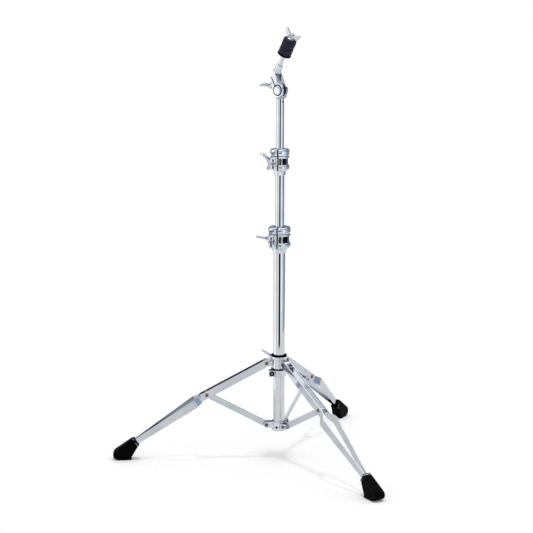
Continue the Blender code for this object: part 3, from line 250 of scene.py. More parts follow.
def turned(name, profile, place, segments=96, finished=True):
    """Made as on a lathe: a circle at the first (radius, height), drawn through the rest.

    A profile whose last point repeats its first is a ring, and any other is a solid with flat ends.
    """
    ring = profile[0] == profile[-1]
    bpy.ops.object.select_all(action="DESELECT")
    fill = "NOTHING" if ring else "NGON"
    bpy.ops.mesh.primitive_circle_add(vertices=segments, radius=profile[0][0], fill_type=fill)
    piece = bpy.context.object
    piece.name = name
    bpy.ops.object.mode_set(mode="EDIT")
    bpy.ops.mesh.select_all(action="SELECT")
    bpy.ops.transform.translate(value=(0.0, 0.0, profile[0][1]))
    for (radius, height), (next_radius, next_height) in zip(profile, profile[1:]):
        rise = (0.0, 0.0, next_height - height)
        bpy.ops.mesh.extrude_region_move(TRANSFORM_OT_translate={"value": rise})
        share = next_radius / radius
        bpy.ops.transform.resize(value=(share, share, 1.0), center_override=(0.0, 0.0, next_height))
    bpy.ops.mesh.select_all(action="SELECT")
    bpy.ops.mesh.remove_doubles(threshold=SEAM)
    bpy.ops.mesh.normals_make_consistent(inside=False)
    bpy.ops.object.mode_set(mode="OBJECT")
    piece.matrix_world = place
    bpy.ops.object.transform_apply(location=True, rotation=True, scale=True)
    if finished:
        smooth(piece)
    return piece


def take(piece):
    """Makes a piece the only one that is selected."""
    bpy.ops.object.select_all(action="DESELECT")
    piece.select_set(True)
    bpy.context.view_layer.objects.active = piece


def smooth(piece):
    """Smooths the rounds and keeps the broad faces true, so that a mirror doesn't swell at the edges."""
    take(piece)
    bpy.ops.object.shade_smooth_by_angle(angle=SMOOTH_ANGLE)
    true_faces = piece.modifiers.new("true_faces", "WEIGHTED_NORMAL")
    true_faces.weight = FACE_WEIGHT
    true_faces.keep_sharp = True
    bpy.ops.object.modifier_apply(modifier=true_faces.name)


def dress(piece, body, finish, slot, *nodes):
    """Gives a piece its finish and its body, and hides the solids it stands for; its slot is not used."""
    piece.data.materials.clear()
    piece.data.materials.append(finish)
    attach(piece, body)
    if nodes:
        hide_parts(*nodes)


def new_finish(name):
    """A material to fill in: itself, its tree, its shader and the coordinates that its patterns read."""
    made = bpy.data.materials.new(name)
    made.use_nodes = True
    tree = made.node_tree
    where = add_node(tree, "ShaderNodeTexCoord").outputs["Object"]
    return made, tree, tree.nodes["Principled BSDF"], where


HAZE_MM = 45.0


def metal(name, colour, haze, rough, line_mm, line_stretch, wave_mm, wave_depth):
    """Plated metal: haze in colour and gloss, fine lines along Z or all ways, and a slow waviness."""
    made, tree, shader, where = new_finish(name)
    shader.inputs["Metallic"].default_value = 1.0
    blotch = add_node(tree, "ShaderNodeTexNoise", {"Scale": 1000.0 / HAZE_MM, "Detail": 4.0}, {0: where})
    tint = add_node(tree, "ShaderNodeValToRGB", links={0: blotch.outputs[0]})
    set_ramp(tint, ((0.35, haze), (0.62, colour)))
    tree.links.new(tint.outputs[0], shader.inputs["Base Color"])
    stretch = add_node(tree, "ShaderNodeMapping", {"Scale": (1.0, 1.0, line_stretch)}, {0: where})
    line_values = {"Scale": 1000.0 / line_mm, "Detail": 2.0}
    lines = add_node(tree, "ShaderNodeTexNoise", line_values, {0: stretch.outputs[0]})
    line_haze = {0: lines.outputs[0], 1: blotch.outputs[0]}
    mixed = add_node(tree, "ShaderNodeMath", links=line_haze, operation="MULTIPLY")
    gloss_span = {1: 0.1, 2: 0.5, 3: rough[0], 4: rough[1]}
    gloss = add_node(tree, "ShaderNodeMapRange", gloss_span, {0: mixed.outputs[0]})
    tree.links.new(gloss.outputs[0], shader.inputs["Roughness"])
    wave = add_node(tree, "ShaderNodeTexNoise", {"Scale": 1000.0 / wave_mm, "Detail": 1.0}, {0: where})
    wave_values = {"Strength": 1.0, "Distance": wave_depth}
    bump = add_node(tree, "ShaderNodeBump", wave_values, {"Height": wave.outputs[0]})
    tree.links.new(bump.outputs[0], shader.inputs["Normal"])
    return made


# Chrome on drawn and buffed steel: almost a mirror, with faint draw lines along the tube and the haze of
# handling. The draw lines are far finer than a pixel, so they are drawn 2 mm apart.
tube_chrome = metal("chrome_plated_drawn_tube", "#c8cacd", "#c0c3c7", (0.03, 0.07), 2.0, 0.03, 60.0, 0.00006)
TUBE_LIP = 0.0005
BASE_WALL = 0.0015
INNER_WALL = 0.0012


def chrome_tube(node, body, wall):
    """A tube of a wall's thickness in place of its solid, with rounded ends."""
    low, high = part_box(node)
    outer = (high.x - low.x) / 2
    inner = outer - wall
    profile = [
        (outer - TUBE_LIP, high.z),
        (outer - 0.3 * TUBE_LIP, high.z - 0.3 * TUBE_LIP),
        (outer, high.z - TUBE_LIP),
        (outer, low.z + TUBE_LIP),
        (outer - TUBE_LIP, low.z),
        (inner, low.z),
        (inner, high.z),
        (outer - TUBE_LIP, high.z),
    ]
    piece = turned(node.replace("_tube", "_chrome_tube"), profile, Matrix.Translation(tube_axis))
    dress(piece, body, tube_chrome, "chrome", node)


chrome_tube("base_tube", "base", BASE_WALL)
chrome_tube("middle_tube", "middle", INNER_WALL)
chrome_tube("upper_tube", "upper", INNER_WALL)


# Black nylon
# Moulded nylon pieces, pressed into the metal ones: the plug in the tube's lower end, the collar's bushings
# with a lip round each flange, the sleeves that show through the clamps' windows and the tilter's friction
# ring.
PATCH_MM = 18.0
PLASTIC_IOR = 1.5
SLIVER = 0.00002
WELD = 0.00001
FLAT_WITHIN = math.radians(0.6)
ROUND_ABOVE = math.radians(28.0)
NYLON_EDGE = 0.0004
FLANGE_PROUD = 0.0004
FLANGE_HEIGHT = 0.0044
FLANGE_WALL = 0.0030
FLANGE_CORNER = (0.0004, 0.0005)


def moulded(name, colour, worn, rough, shine, grain_mm, grain_depth):
    """Moulded plastic or rubber: a fine even grain, with the colour worn paler in broad patches."""
    made, tree, shader, where = new_finish(name)
    patch = add_node(tree, "ShaderNodeTexNoise", {"Scale": 1000.0 / PATCH_MM, "Detail": 5.0}, {0: where})
    tint = add_node(tree, "ShaderNodeValToRGB", links={0: patch.outputs[0]})
    set_ramp(tint, ((0.45, colour), (0.72, worn)))
    tree.links.new(tint.outputs[0], shader.inputs["Base Color"])
    gloss_span = {1: 0.3, 2: 0.7, 3: rough[0], 4: rough[1]}
    gloss = add_node(tree, "ShaderNodeMapRange", gloss_span, {0: patch.outputs[0]})
    tree.links.new(gloss.outputs[0], shader.inputs["Roughness"])
    grain = add_node(tree, "ShaderNodeTexNoise", {"Scale": 1000.0 / grain_mm, "Detail": 2.0}, {0: where})
    grain_values = {"Strength": 1.0, "Distance": grain_depth}
    bump = add_node(tree, "ShaderNodeBump", grain_values, {"Height": grain.outputs[0]})
    tree.links.new(bump.outputs[0], shader.inputs["Normal"])
    shader.inputs["IOR"].default_value = PLASTIC_IOR
    shader.inputs["Specular IOR Level"].default_value = shine
    return made


def round_edges(piece, width, rounds=2, clamped=False):
    """Merges the slivers that cuts leave, and rounds the edges that are sharper than a round shape's facets.

    A clamped rounding stays as narrow as the closest edges need, and what it closes up is merged at the end.
    """
    take(piece)
    bpy.ops.object.mode_set(mode="EDIT")
    bpy.ops.mesh.select_all(action="SELECT")
    bpy.ops.mesh.remove_doubles(threshold=width / 4)
    bpy.ops.mesh.dissolve_degenerate(threshold=SLIVER)
    bpy.ops.mesh.select_all(action="SELECT")
    bpy.ops.mesh.fill_holes(sides=0)
    bpy.ops.object.mode_set(mode="OBJECT")
    rounding = piece.modifiers.new("edges", "BEVEL")
    rounding.width = width
    rounding.segments = rounds
    rounding.use_clamp_overlap = clamped
    rounding.limit_method = "ANGLE"
    rounding.angle_limit = ROUND_ABOVE
    bpy.ops.object.modifier_apply(modifier=rounding.name)
    bpy.ops.object.mode_set(mode="EDIT")
    bpy.ops.mesh.select_all(action="SELECT")
    bpy.ops.mesh.remove_doubles(threshold=SLIVER / 4)
    bpy.ops.object.mode_set(mode="OBJECT")


def from_solid(node, edge, rounds=2, clamped=False):
    """A copy of a solid, its triangles joined into clean faces and its edges rounded as after tumbling."""
    piece = bpy.data.objects.new(node + "_dressed", frame["nodes"][node].data.copy())
    bpy.context.scene.collection.objects.link(piece)
    take(piece)
    bpy.ops.object.mode_set(mode="EDIT")
    bpy.ops.mesh.select_all(action="SELECT")
    bpy.ops.mesh.customdata_custom_splitnormals_clear()
    bpy.ops.mesh.remove_doubles(threshold=WELD)
    bpy.ops.mesh.dissolve_limited(angle_limit=FLAT_WITHIN)
    bpy.ops.mesh.normals_make_consistent(inside=False)
    bpy.ops.object.mode_set(mode="OBJECT")
    if edge > 0:
        round_edges(piece, edge, rounds, clamped)
    smooth(piece)
    return piece


# Black nylon from a mould: near black, with a dull satin light. Its grain is drawn at 1.4 mm, coarser than it
# is, so that it shows.
nylon = moulded("moulded_black_nylon", "#010102", "#040405", (0.40, 0.52), 0.04, 1.4, 0.00004)
BODIES = {}
for body_name, members in frame["record"]["behaviour"]["bodies"].items():
    for member in members:
        BODIES[member] = body_name
for node in (
    "base_end_plug",
    "collar_upper_bushing",
    "collar_lower_bushing",
    "lower_clamp_bushing",
    "upper_clamp_bushing",
    "tilter_bushing",
):
    dress(from_solid(node, NYLON_EDGE), BODIES[node], nylon, "nylon", node)
for node, outward in (("collar_upper_bushing", 1.0), ("collar_lower_bushing", -1.0)):
    low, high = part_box(node)
    edge = high.z if outward > 0 else low.z
    inner_edge = edge - outward * FLANGE_HEIGHT
    outer = (high.x - low.x) / 2 + FLANGE_PROUD
    lip_profile = [
        (outer - FLANGE_CORNER[0], edge),
        (outer, edge - outward * FLANGE_CORNER[1]),
        (outer, inner_edge),
        (outer - FLANGE_WALL, inner_edge),
        (outer - FLANGE_WALL, edge),
        (outer - FLANGE_CORNER[0], edge),
    ]
    dress(turned(node + "_lip", lip_profile, Matrix.Translation(tube_axis)), BODIES[node], nylon, "nylon")

# Tube clamps and memory locks
# Zinc castings, chrome plated: a clamp on the top of each tube, with windows onto the black sleeve, and a
# barrel-shaped lock that rests on it. Both are split, with a black strip in the slit as painted shade, and
# have a block on the left that takes the key bolt.
GAP = 0.0003
BOLT_HEAD = 0.0036
BLOCK_LENGTH = 0.0125
BLOCK_BACK = 0.0065
BLOCK_TRIM = 0.002
CONE = 0.011
RING = 0.015
WAIST = 0.0165
WAIST_INSET = 0.003
TUBE_SEAT = 0.0243
WINDOWS = (-58.0, -12.0, 34.0, 80.0)
WINDOW_HEIGHT = 0.0153
WINDOW_SHARE = 0.68
WINDOW_ROUND = 0.0008
SLIT = 0.0032
SLIT_ANGLE = -108.0
SLIT_OVERCUT = 0.001
# The strips that follow are black pieces of painted shade in the slits.
STRIP_FIT = 0.0001
STRIP_FOOT = 0.0050
STRIP_EDGE = 0.0012
STRIP_TOP = 0.0004
STRIP_SINK = 0.0009
WAIST_SINK = 0.0006
LOCK_STRIP_BORE = 0.0005
LOCK_STRIP_SINK = 0.0012
LOCK_STRIP_LIFT = 0.0002
BLOCK_ROUND = 0.0048
BOSS = [(0.0062, 0.0), (0.0065, -0.0004), (0.0065, -0.0070)]
BOLT_HOLE = [(0.0033, 0.004), (0.0033, -0.02)]
BORE_START = 0.0001
CLAMP_EDGE = 0.00035
LOCK_EDGE = 0.0004
JOINTS = {joint["name"]: joint for joint in frame["record"]["behaviour"]["joints"]}
# Chrome on a zinc casting: it keeps the casting's slow ripple, so that what it mirrors breaks up into bright
# and dark patches. Its pits are drawn at 1.2 mm, coarser than they are, so that they show.
cast_chrome = metal("chrome_plated_casting", "#d0d3d7", "#bcc1c8", (0.12, 0.22), 1.2, 1.0, 5.0, 0.00030)


def rounded_block(name, size, place, edge, rounds=3):
    """A block of a size about a place, with its edges rounded."""
    bpy.ops.object.select_all(action="DESELECT")
    bpy.ops.mesh.primitive_cube_add(size=1.0)
    piece = bpy.context.object
    piece.name = name
    piece.scale = size
    bpy.ops.object.transform_apply(location=True, rotation=True, scale=True)
    if edge > 0:
        round_edges(piece, edge, rounds)
    take(piece)
    piece.matrix_world = place
    bpy.ops.object.transform_apply(location=True, rotation=True, scale=True)
    return piece


def carve(piece, tool, operation="DIFFERENCE"):
    """Cuts a tool out of a piece, or welds it on, and puts the tool away."""
    take(piece)
    step = piece.modifiers.new("carve", "BOOLEAN")
    step.operation = operation
    step.solver = "EXACT"
    step.object = tool
    bpy.ops.object.modifier_apply(modifier=step.name)
    bpy.data.objects.remove(tool)


def along(joint):
    """The place of a joint, with +Z along its axis."""
    turn = Vector(JOINTS[joint]["axis"]).to_track_quat("Z", "Y").to_matrix().to_4x4()
    return Matrix.Translation(JOINTS[joint]["pos_m"]) @ turn


def radial(angle, inner, outer, height):
    """The middle of a radial cut through the wall of a clamp."""
    turn = Matrix.Rotation(math.radians(angle), 4, "Z")
    return Matrix.Translation(tube_axis) @ turn @ Matrix.Translation(((inner + outer) / 2, 0.0, height))


def add_block(casting, node, bolt, bottom, top):
    """Welds the bolt's block to the left of a clamp or a lock."""
    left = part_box(node)[0].x
    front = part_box(bolt)[0].y + BOLT_HEAD + GAP
    back = tube_axis.y + BLOCK_BACK
    size = (BLOCK_LENGTH, back - front, top - bottom)
    middle = (left + BLOCK_LENGTH / 2, (front + back) / 2, (bottom + top) / 2)
    carve(casting, rounded_block("block", size, Matrix.Translation(middle), BLOCK_ROUND, 6), "UNION")


def shade_slit(name, body, inner, outer, bottom, top):
    """A black strip in the slit as painted shade, so that it shows as a dark line."""
    place = radial(SLIT_ANGLE, inner, outer, (bottom + top) / 2)
    strip = rounded_block(name, (outer - inner, SLIT - STRIP_FIT, top - bottom), place, 0.0)
    # The strip takes the black nylon finish as painted shade in the slit.
    dress(strip, body, nylon, "nylon")


def split_clamp(prefix, tube, wing_joint):
    """The clamp at the top of a tube, from its foot up: a cone, a ring, a waist with windows and a rim."""
    node = prefix + "_body"
    low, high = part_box(node)
    rim = high.x - tube_axis.x
    waist = rim - WAIST_INSET
    bore = (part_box(tube)[1].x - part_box(tube)[0].x) / 2 + GAP
    sleeve = (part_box(prefix + "_bushing")[1].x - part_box(prefix + "_bushing")[0].x) / 2 + GAP
    ring_top = CONE + RING
    waist_top = ring_top + WAIST
    top = high.z - low.z
    profile = [
        (rim - 0.0024, top),
        (rim - 0.0012, top - 0.0005),
        (rim - 0.0003, top - 0.0015),
        (rim, top - 0.0028),
        (rim - 0.0003, waist_top + 0.0004),
        (rim - 0.0009, waist_top),
        (waist, waist_top),
        (waist, ring_top),
        (rim - 0.0018, ring_top),
        (rim - 0.0008, ring_top - 0.0012),
        (rim - 0.0002, ring_top - 0.0032),
        (rim, ring_top - 0.0055),
        (rim - 0.0002, CONE + 0.0070),
        (rim - 0.0009, CONE + 0.0046),
        (rim - 0.0020, CONE + 0.0024),
        (rim - 0.0035, CONE + 0.0007),
        (rim - 0.0050, CONE),
        (bore + 0.0037, CONE - 0.0002),
        (bore + 0.0029, 0.0068),
        (bore + 0.0020, 0.0024),
        (bore + 0.0019, 0.0010),
        (bore + 0.0011, 0.0),
        (bore, 0.0),
        (bore, TUBE_SEAT),
        (sleeve, TUBE_SEAT),
        (sleeve, top),
        (rim - 0.0024, top),
    ]
    foot = Matrix.Translation((tube_axis.x, tube_axis.y, low.z))
    casting = turned(prefix + "_casting", profile, foot, finished=False)
    add_block(casting, node, prefix + "_screw", low.z + CONE + BLOCK_TRIM, high.z - BLOCK_TRIM)
    carve(casting, turned("boss", BOSS, along(wing_joint), 48, False), "UNION")
    carve(casting, turned("bolt_hole", BOLT_HOLE, along(wing_joint), 32, False))
    inside = Matrix.Translation((tube_axis.x, tube_axis.y, low.z + TUBE_SEAT))
    carve(casting, turned("sleeve_bore", [(sleeve, BORE_START), (sleeve, top)], inside, 96, False))
    middle = low.z + ring_top + WAIST / 2
    for angle in WINDOWS:
        place = radial(angle, bore, 2 * rim, middle)
        size = (2 * rim - bore, WINDOW_SHARE * waist, WINDOW_HEIGHT)
        carve(casting, rounded_block("window", size, place, WINDOW_ROUND))
    slit_bottom = low.z + CONE + BLOCK_TRIM
    place = radial(SLIT_ANGLE, bore - SLIT_OVERCUT, 2 * rim, slit_bottom + top / 2)
    carve(casting, rounded_block("slit", (2 * rim - bore, SLIT, top), place, 0.0))
    round_edges(casting, CLAMP_EDGE)
    smooth(casting)
    dress(casting, BODIES[node], cast_chrome, "chrome", node)
    # Black strips of painted shade in the slit: a deep one along its whole height, and shallower ones in the
    # ring and the rim.
    strip_edge = waist - WAIST_SINK
    shade_slit(prefix + "_slit_shade_strip", BODIES[node], sleeve, strip_edge, slit_bottom, high.z - STRIP_TOP)
    for name, bottom, ring_edge in (
        ("_slit_foot_shade", low.z + CONE + STRIP_FOOT, low.z + ring_top - STRIP_EDGE),
        ("_slit_top_shade", low.z + waist_top + STRIP_EDGE, high.z - STRIP_EDGE),
    ):
        shade_slit(prefix + name, BODIES[node], strip_edge, rim - STRIP_SINK, bottom, ring_edge)


def memory_lock(node, tube, bolt):
    """The barrel-shaped ring that is set on a tube and rests on the clamp below."""
    low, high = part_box(node)
    rim = high.x - tube_axis.x
    bore = (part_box(tube)[1].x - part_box(tube)[0].x) / 2 + GAP
    top = high.z - low.z
    profile = [
        (rim - 0.0030, top),
        (rim - 0.0015, top - 0.0009),
        (rim - 0.0006, top - 0.0030),
        (rim - 0.0001, top - 0.0060),
        (rim, top - 0.0085),
        (rim - 0.0003, 0.0048),
        (rim - 0.0010, 0.0022),
        (rim - 0.0018, 0.0007),
        (rim - 0.0030, 0.0),
        (bore, 0.0),
        (bore, top),
        (rim - 0.0030, top),
    ]
    foot = Matrix.Translation((tube_axis.x, tube_axis.y, low.z))
    casting = turned(node + "_casting", profile, foot, finished=False)
    add_block(casting, node, bolt, low.z + BLOCK_TRIM, high.z - BLOCK_TRIM)
    place = radial(SLIT_ANGLE, 0.0, 2 * rim, (low.z + high.z) / 2)
    carve(casting, rounded_block("slit", (2 * rim, SLIT, 2 * top), place, 0.0))
    round_edges(casting, LOCK_EDGE)
    smooth(casting)
    dress(casting, BODIES[node], cast_chrome, "chrome", node)
    # A black strip of painted shade in the slit.
    strip = (bore + LOCK_STRIP_BORE, rim - LOCK_STRIP_SINK, low.z + LOCK_STRIP_LIFT, high.z - STRIP_TOP)
    shade_slit(node + "_slit_shade_strip", BODIES[node], *strip)


split_clamp("lower_clamp", "base_tube", "lower_wing_turn")
split_clamp("upper_clamp", "middle_tube", "upper_wing_turn")
memory_lock("middle_memory_lock", "middle_tube", "middle_lock_bolt")
memory_lock("upper_memory_lock", "upper_tube", "upper_lock_bolt")

# Leg collar, stop ring and bracket
# Zinc castings round the base tube, chrome plated, with lugs that take the legs and the braces. The collar
# slides, the stop ring is bolted under it and the bracket is screwed to the tube's foot.
CAST_EDGE = 0.0007
for node in ("leg_bracket", "leg_collar", "stop_ring"):
    dress(from_solid(node, CAST_EDGE, 3), BODIES[node], cast_chrome, "chrome", node)

# Leg rails and braces
# Steel strip, pressed to shape and chrome plated. Each leg has two rails, bent apart part way down and drawn
# together at the foot, and a brace to the bracket, all riveted so that they turn.
BEND_ROUND = 0.003
BEND_STEPS = 5
BEND_TURNS = (12.0, 65.0)
PRESSED_EDGE = 0.0006
# Chrome on pressed strip: a flat grey mirror with the faint cloud of the press, drawn at 1 mm, so that it
# shows.
strip_chrome = metal("chrome_plated_strip", "#bfc3c8", "#b0b5bc", (0.06, 0.14), 1.0, 1.0, 40.0, 0.00008)


def ease_bends(piece):
    """Rounds the shallow bends across a strip, and leaves its square edges."""
    across = {}
    for polygon in piece.data.polygons:
        for key in polygon.edge_keys:
            across.setdefault(key, []).append(polygon.normal)
    share = piece.data.attributes.new("bevel_weight_edge", "FLOAT", "EDGE")
    for edge in piece.data.edges:
        sides = across[edge.key]
        turn = math.degrees(sides[0].angle(sides[1]))
        share.data[edge.index].value = 1.0 if BEND_TURNS[0] < turn < BEND_TURNS[1] else 0.0
    take(piece)
    bend = piece.modifiers.new("bend", "BEVEL")
    bend.width = BEND_ROUND
    bend.segments = BEND_STEPS
    bend.limit_method = "WEIGHT"
    bpy.ops.object.modifier_apply(modifier=bend.name)


for leg in (1, 2, 3):
    for node in (f"leg_{leg}_rail_left", f"leg_{leg}_rail_right"):
        rail = from_solid(node, 0.0)
        ease_bends(rail)
        round_edges(rail, PRESSED_EDGE, 3, clamped=True)
        smooth(rail)
        dress(rail, BODIES[node], strip_chrome, "chrome", node)
    node = f"leg_{leg}_strut"
    brace = from_solid(node, PRESSED_EDGE, 3, clamped=True)
    dress(brace, BODIES[node], strip_chrome, "chrome", node)

# Tilter
# A cast arm that grips the barrel of its base, with a slot drawn shut by the wing bolt. One face is cut back
# on a slope, where a hole is darkened by a black plug as painted shade in its depth. A pressed cap covers the
# barrel's end, ringed in black as painted shade round its edge.
CAP_R = 0.0115
CAP_H = 0.003
CAP_CENTRE = 0.0012
CAP_SHANK_R = 0.003
CAP_SHANK_END = -0.008
ARM_HALF = 0.0067
HOLE_OUT = Vector((0.664, -0.694, 0.192))
HOLE_RISE = 0.035
HOLE_R = 0.0026
HOLE_SHADE_CENTRE = 0.0006
HOLE_SHADE_TOP = -0.0012
HOLE_SHADE_SHOULDER = -0.0016
HOLE_SHADE_END = -0.0055
TILTER_EDGE = 0.0009
CAP_SHADE_OUT = 0.0021
CAP_SHADE_IN = 0.0002
for node in ("tilter_base", "tilter_arm"):
    dress(from_solid(node, TILTER_EDGE, 3), BODIES[node], cast_chrome, "chrome", node)
back = Vector(JOINTS["cymbal_tilt"]["axis"])
side = back.cross(Vector((0.0, 0.0, 1.0)))
hole_out = side * HOLE_OUT.x + back * HOLE_OUT.y + Vector((0.0, 0.0, HOLE_OUT.z))
hole_at = Vector(JOINTS["cymbal_tilt"]["pos_m"]) + Vector((0.0, 0.0, HOLE_RISE))
hole_place = Matrix.Translation(hole_at) @ hole_out.to_track_quat("Z", "Y").to_matrix().to_4x4()
# A dark nylon plug sunk in the hole, as painted shade in its depth.
hole_shade_profile = [
    (HOLE_SHADE_CENTRE, HOLE_SHADE_TOP),
    (HOLE_R * 0.8, HOLE_SHADE_TOP),
    (HOLE_R, HOLE_SHADE_SHOULDER),
    (HOLE_R, HOLE_SHADE_END),
]
dress(turned("tilter_hole_shade", hole_shade_profile, hole_place, 32), BODIES["tilter_arm"], nylon, "nylon")
cap_turn = along("cymbal_tilt") @ Matrix.Rotation(math.pi, 4, "X")
cap_place = cap_turn @ Matrix.Translation((0.0, 0.0, ARM_HALF))
cap_profile = [
    (CAP_CENTRE, CAP_H),
    (CAP_R * 0.60, CAP_H * 0.94),
    (CAP_R * 0.80, CAP_H * 0.82),
    (CAP_R * 0.92, CAP_H * 0.62),
    (CAP_R * 0.98, CAP_H * 0.36),
    (CAP_R, CAP_H * 0.12),
    (CAP_R, GAP),
    (CAP_SHANK_R, GAP),
    (CAP_SHANK_R, CAP_SHANK_END),
]
cap = turned("tilter_end_cap", cap_profile, cap_place)
dress(cap, BODIES["tilter_cap"], cast_chrome, "chrome", "tilter_cap")
# A black ring round the cap's foot, as painted shade at the cap's edge.
cap_shade_profile = [
    (CAP_R + CAP_SHADE_OUT, GAP),
    (CAP_R + CAP_SHADE_OUT, 0.0009),
    (CAP_R + CAP_SHADE_IN, 0.0014),
    (CAP_R + CAP_SHADE_IN, GAP),
    (CAP_R + CAP_SHADE_OUT, GAP),
]
dress(turned("tilter_cap_washer", cap_shade_profile, cap_place), BODIES["tilter_cap"], nylon, "nylon")

# Cymbal post
# A steel rod, chrome plated, set in the tilter's arm and threaded at its top. The thread's turns are plain
# rings here. A black nylon sleeve and a flanged seat on its shoulder keep the felts and the cymbal off the
# steel.
ROD_R = 0.0048
THREAD_R = 0.0040
ROD_BOTTOM = -0.0875
SHOULDER = -0.0455
ROD_TOP = 0.0150
THREAD_PITCH = 0.00125
THREAD_END = -0.004
THREAD_RUNOUT = -0.006
SLEEVE_EDGE = 0.0003
post = along("wing_nut_turn")
rod_profile = [(THREAD_R - 0.0010, ROD_TOP), (THREAD_R - 0.0004, ROD_TOP - 0.0005)]
ridge = ROD_TOP - 0.0008
while ridge > THREAD_END:
    rod_profile += [(THREAD_R, ridge), (THREAD_R - 0.0006, ridge - THREAD_PITCH / 2)]
    ridge -= THREAD_PITCH
rod_profile += [
    (THREAD_R, THREAD_RUNOUT),
    (THREAD_R, SHOULDER),
    (ROD_R - 0.0004, SHOULDER),
    (ROD_R, SHOULDER - 0.0004),
    (ROD_R, ROD_BOTTOM + 0.0005),
    (ROD_R - 0.0005, ROD_BOTTOM),
]
rod = turned("chrome_cymbal_rod", rod_profile, post, 48)
dress(rod, BODIES["cymbal_rod"], tube_chrome, "chrome", "cymbal_rod")
seat_profile = [
    (0.0165, SHOULDER + 0.0053),
    (0.0170, SHOULDER + 0.0046),
    (0.0171, SHOULDER + 0.0036),
    (0.0166, SHOULDER + 0.0026),
    (0.0140, SHOULDER + 0.0010),
    (0.0100, SHOULDER + GAP),
    (0.0068, SHOULDER + GAP),
    (0.0068, SHOULDER + 0.0053),
    (0.0165, SHOULDER + 0.0053),
]
dress(turned("nylon_seat", seat_profile, post), BODIES["seat_washer"], nylon, "nylon", "seat_washer")
dress(from_solid("rod_sleeve", SLEEVE_EDGE), BODIES["rod_sleeve"], nylon, "nylon", "rod_sleeve")


# Wings
# Die-cast wing bolts on the collar, the clamps and the tilter, and the wing nut on the rod. Their lobes are
# thick and soft, as they come from the die, and they are chrome plated.
WING_GRAIN = 0.0005
EASE = 0.5


def melt(piece, grain, smooth_steps):
    """Melts a piece to the soft edges of a casting or a moulding."""
    take(piece)
    bpy.ops.object.mode_set(mode="EDIT")
    bpy.ops.mesh.customdata_custom_splitnormals_clear()
    bpy.ops.object.mode_set(mode="OBJECT")
    grains = piece.modifiers.new("grains", "REMESH")
    grains.mode = "VOXEL"
    grains.voxel_size = grain
    bpy.ops.object.modifier_apply(modifier=grains.name)
    ease = piece.modifiers.new("ease", "SMOOTH")
    ease.factor = EASE
    ease.iterations = smooth_steps
    bpy.ops.object.modifier_apply(modifier=ease.name)
    bpy.ops.object.shade_smooth()


# Chrome on a small die casting: a greyer mirror than the tubes have, broken up by the ripple of its skin. The
# pits are drawn at 1.2 mm, coarser than they are, so that they show.
wing_chrome = metal("chrome_plated_wing", "#bcc1c8", "#a0a6af", (0.06, 0.14), 1.2, 1.0, 4.0, 0.00025)
for node in (
    "collar_wing_bolt",
    "lower_clamp_wing_bolt",
    "upper_clamp_wing_bolt",
    "tilter_wing_bolt",
    "top_wing_nut",
):
    wing = from_solid(node, 0.0)
    melt(wing, WING_GRAIN, 6)
    dress(wing, BODIES[node], wing_chrome, "chrome", node)

# Rivets and set screws
# The legs and braces turn on domed rivets of browned steel, closed at both ends. Small black set screws hold
# the bracket on its tube and the tilter's base in the upper tube.
RIVET_DOME = 0.0011
SCREW_EDGE = 0.0003
# Browned steel: a warm, half-matt brown. Black oxide on steel: near black, with a soft light. The grain of
# both is drawn at 0.8 mm, coarser than it is, so that it shows.
rivet_steel = metal("browned_rivet_steel", "#776c64", "#5a5049", (0.22, 0.36), 0.8, 1.0, 4.0, 0.00005)
screw_steel = metal("black_oxide_steel", "#2b2b2d", "#1c1c1e", (0.25, 0.40), 0.8, 1.0, 4.0, 0.00004)
for node in BODIES:
    if node.endswith("_pin"):
        dress(from_solid(node, RIVET_DOME, 4, clamped=True), BODIES[node], rivet_steel, "steel", node)
for node in ("bracket_screw", "tilter_set_screw"):
    dress(from_solid(node, SCREW_EDGE), BODIES[node], screw_steel, "steel", node)

# Key bolts
# Domed steel bolts with a drive recess, screwed into the blocks of the clamps and locks. The one in the stop
# ring is smaller and sits in a black washer, so that it shows as a dark ring with a bright centre.
BOLT_SHANK_R = 0.0022
BOLT_SHANK_END = -0.006
WASHER_BORE = 0.52
WASHER_FIT = 0.02
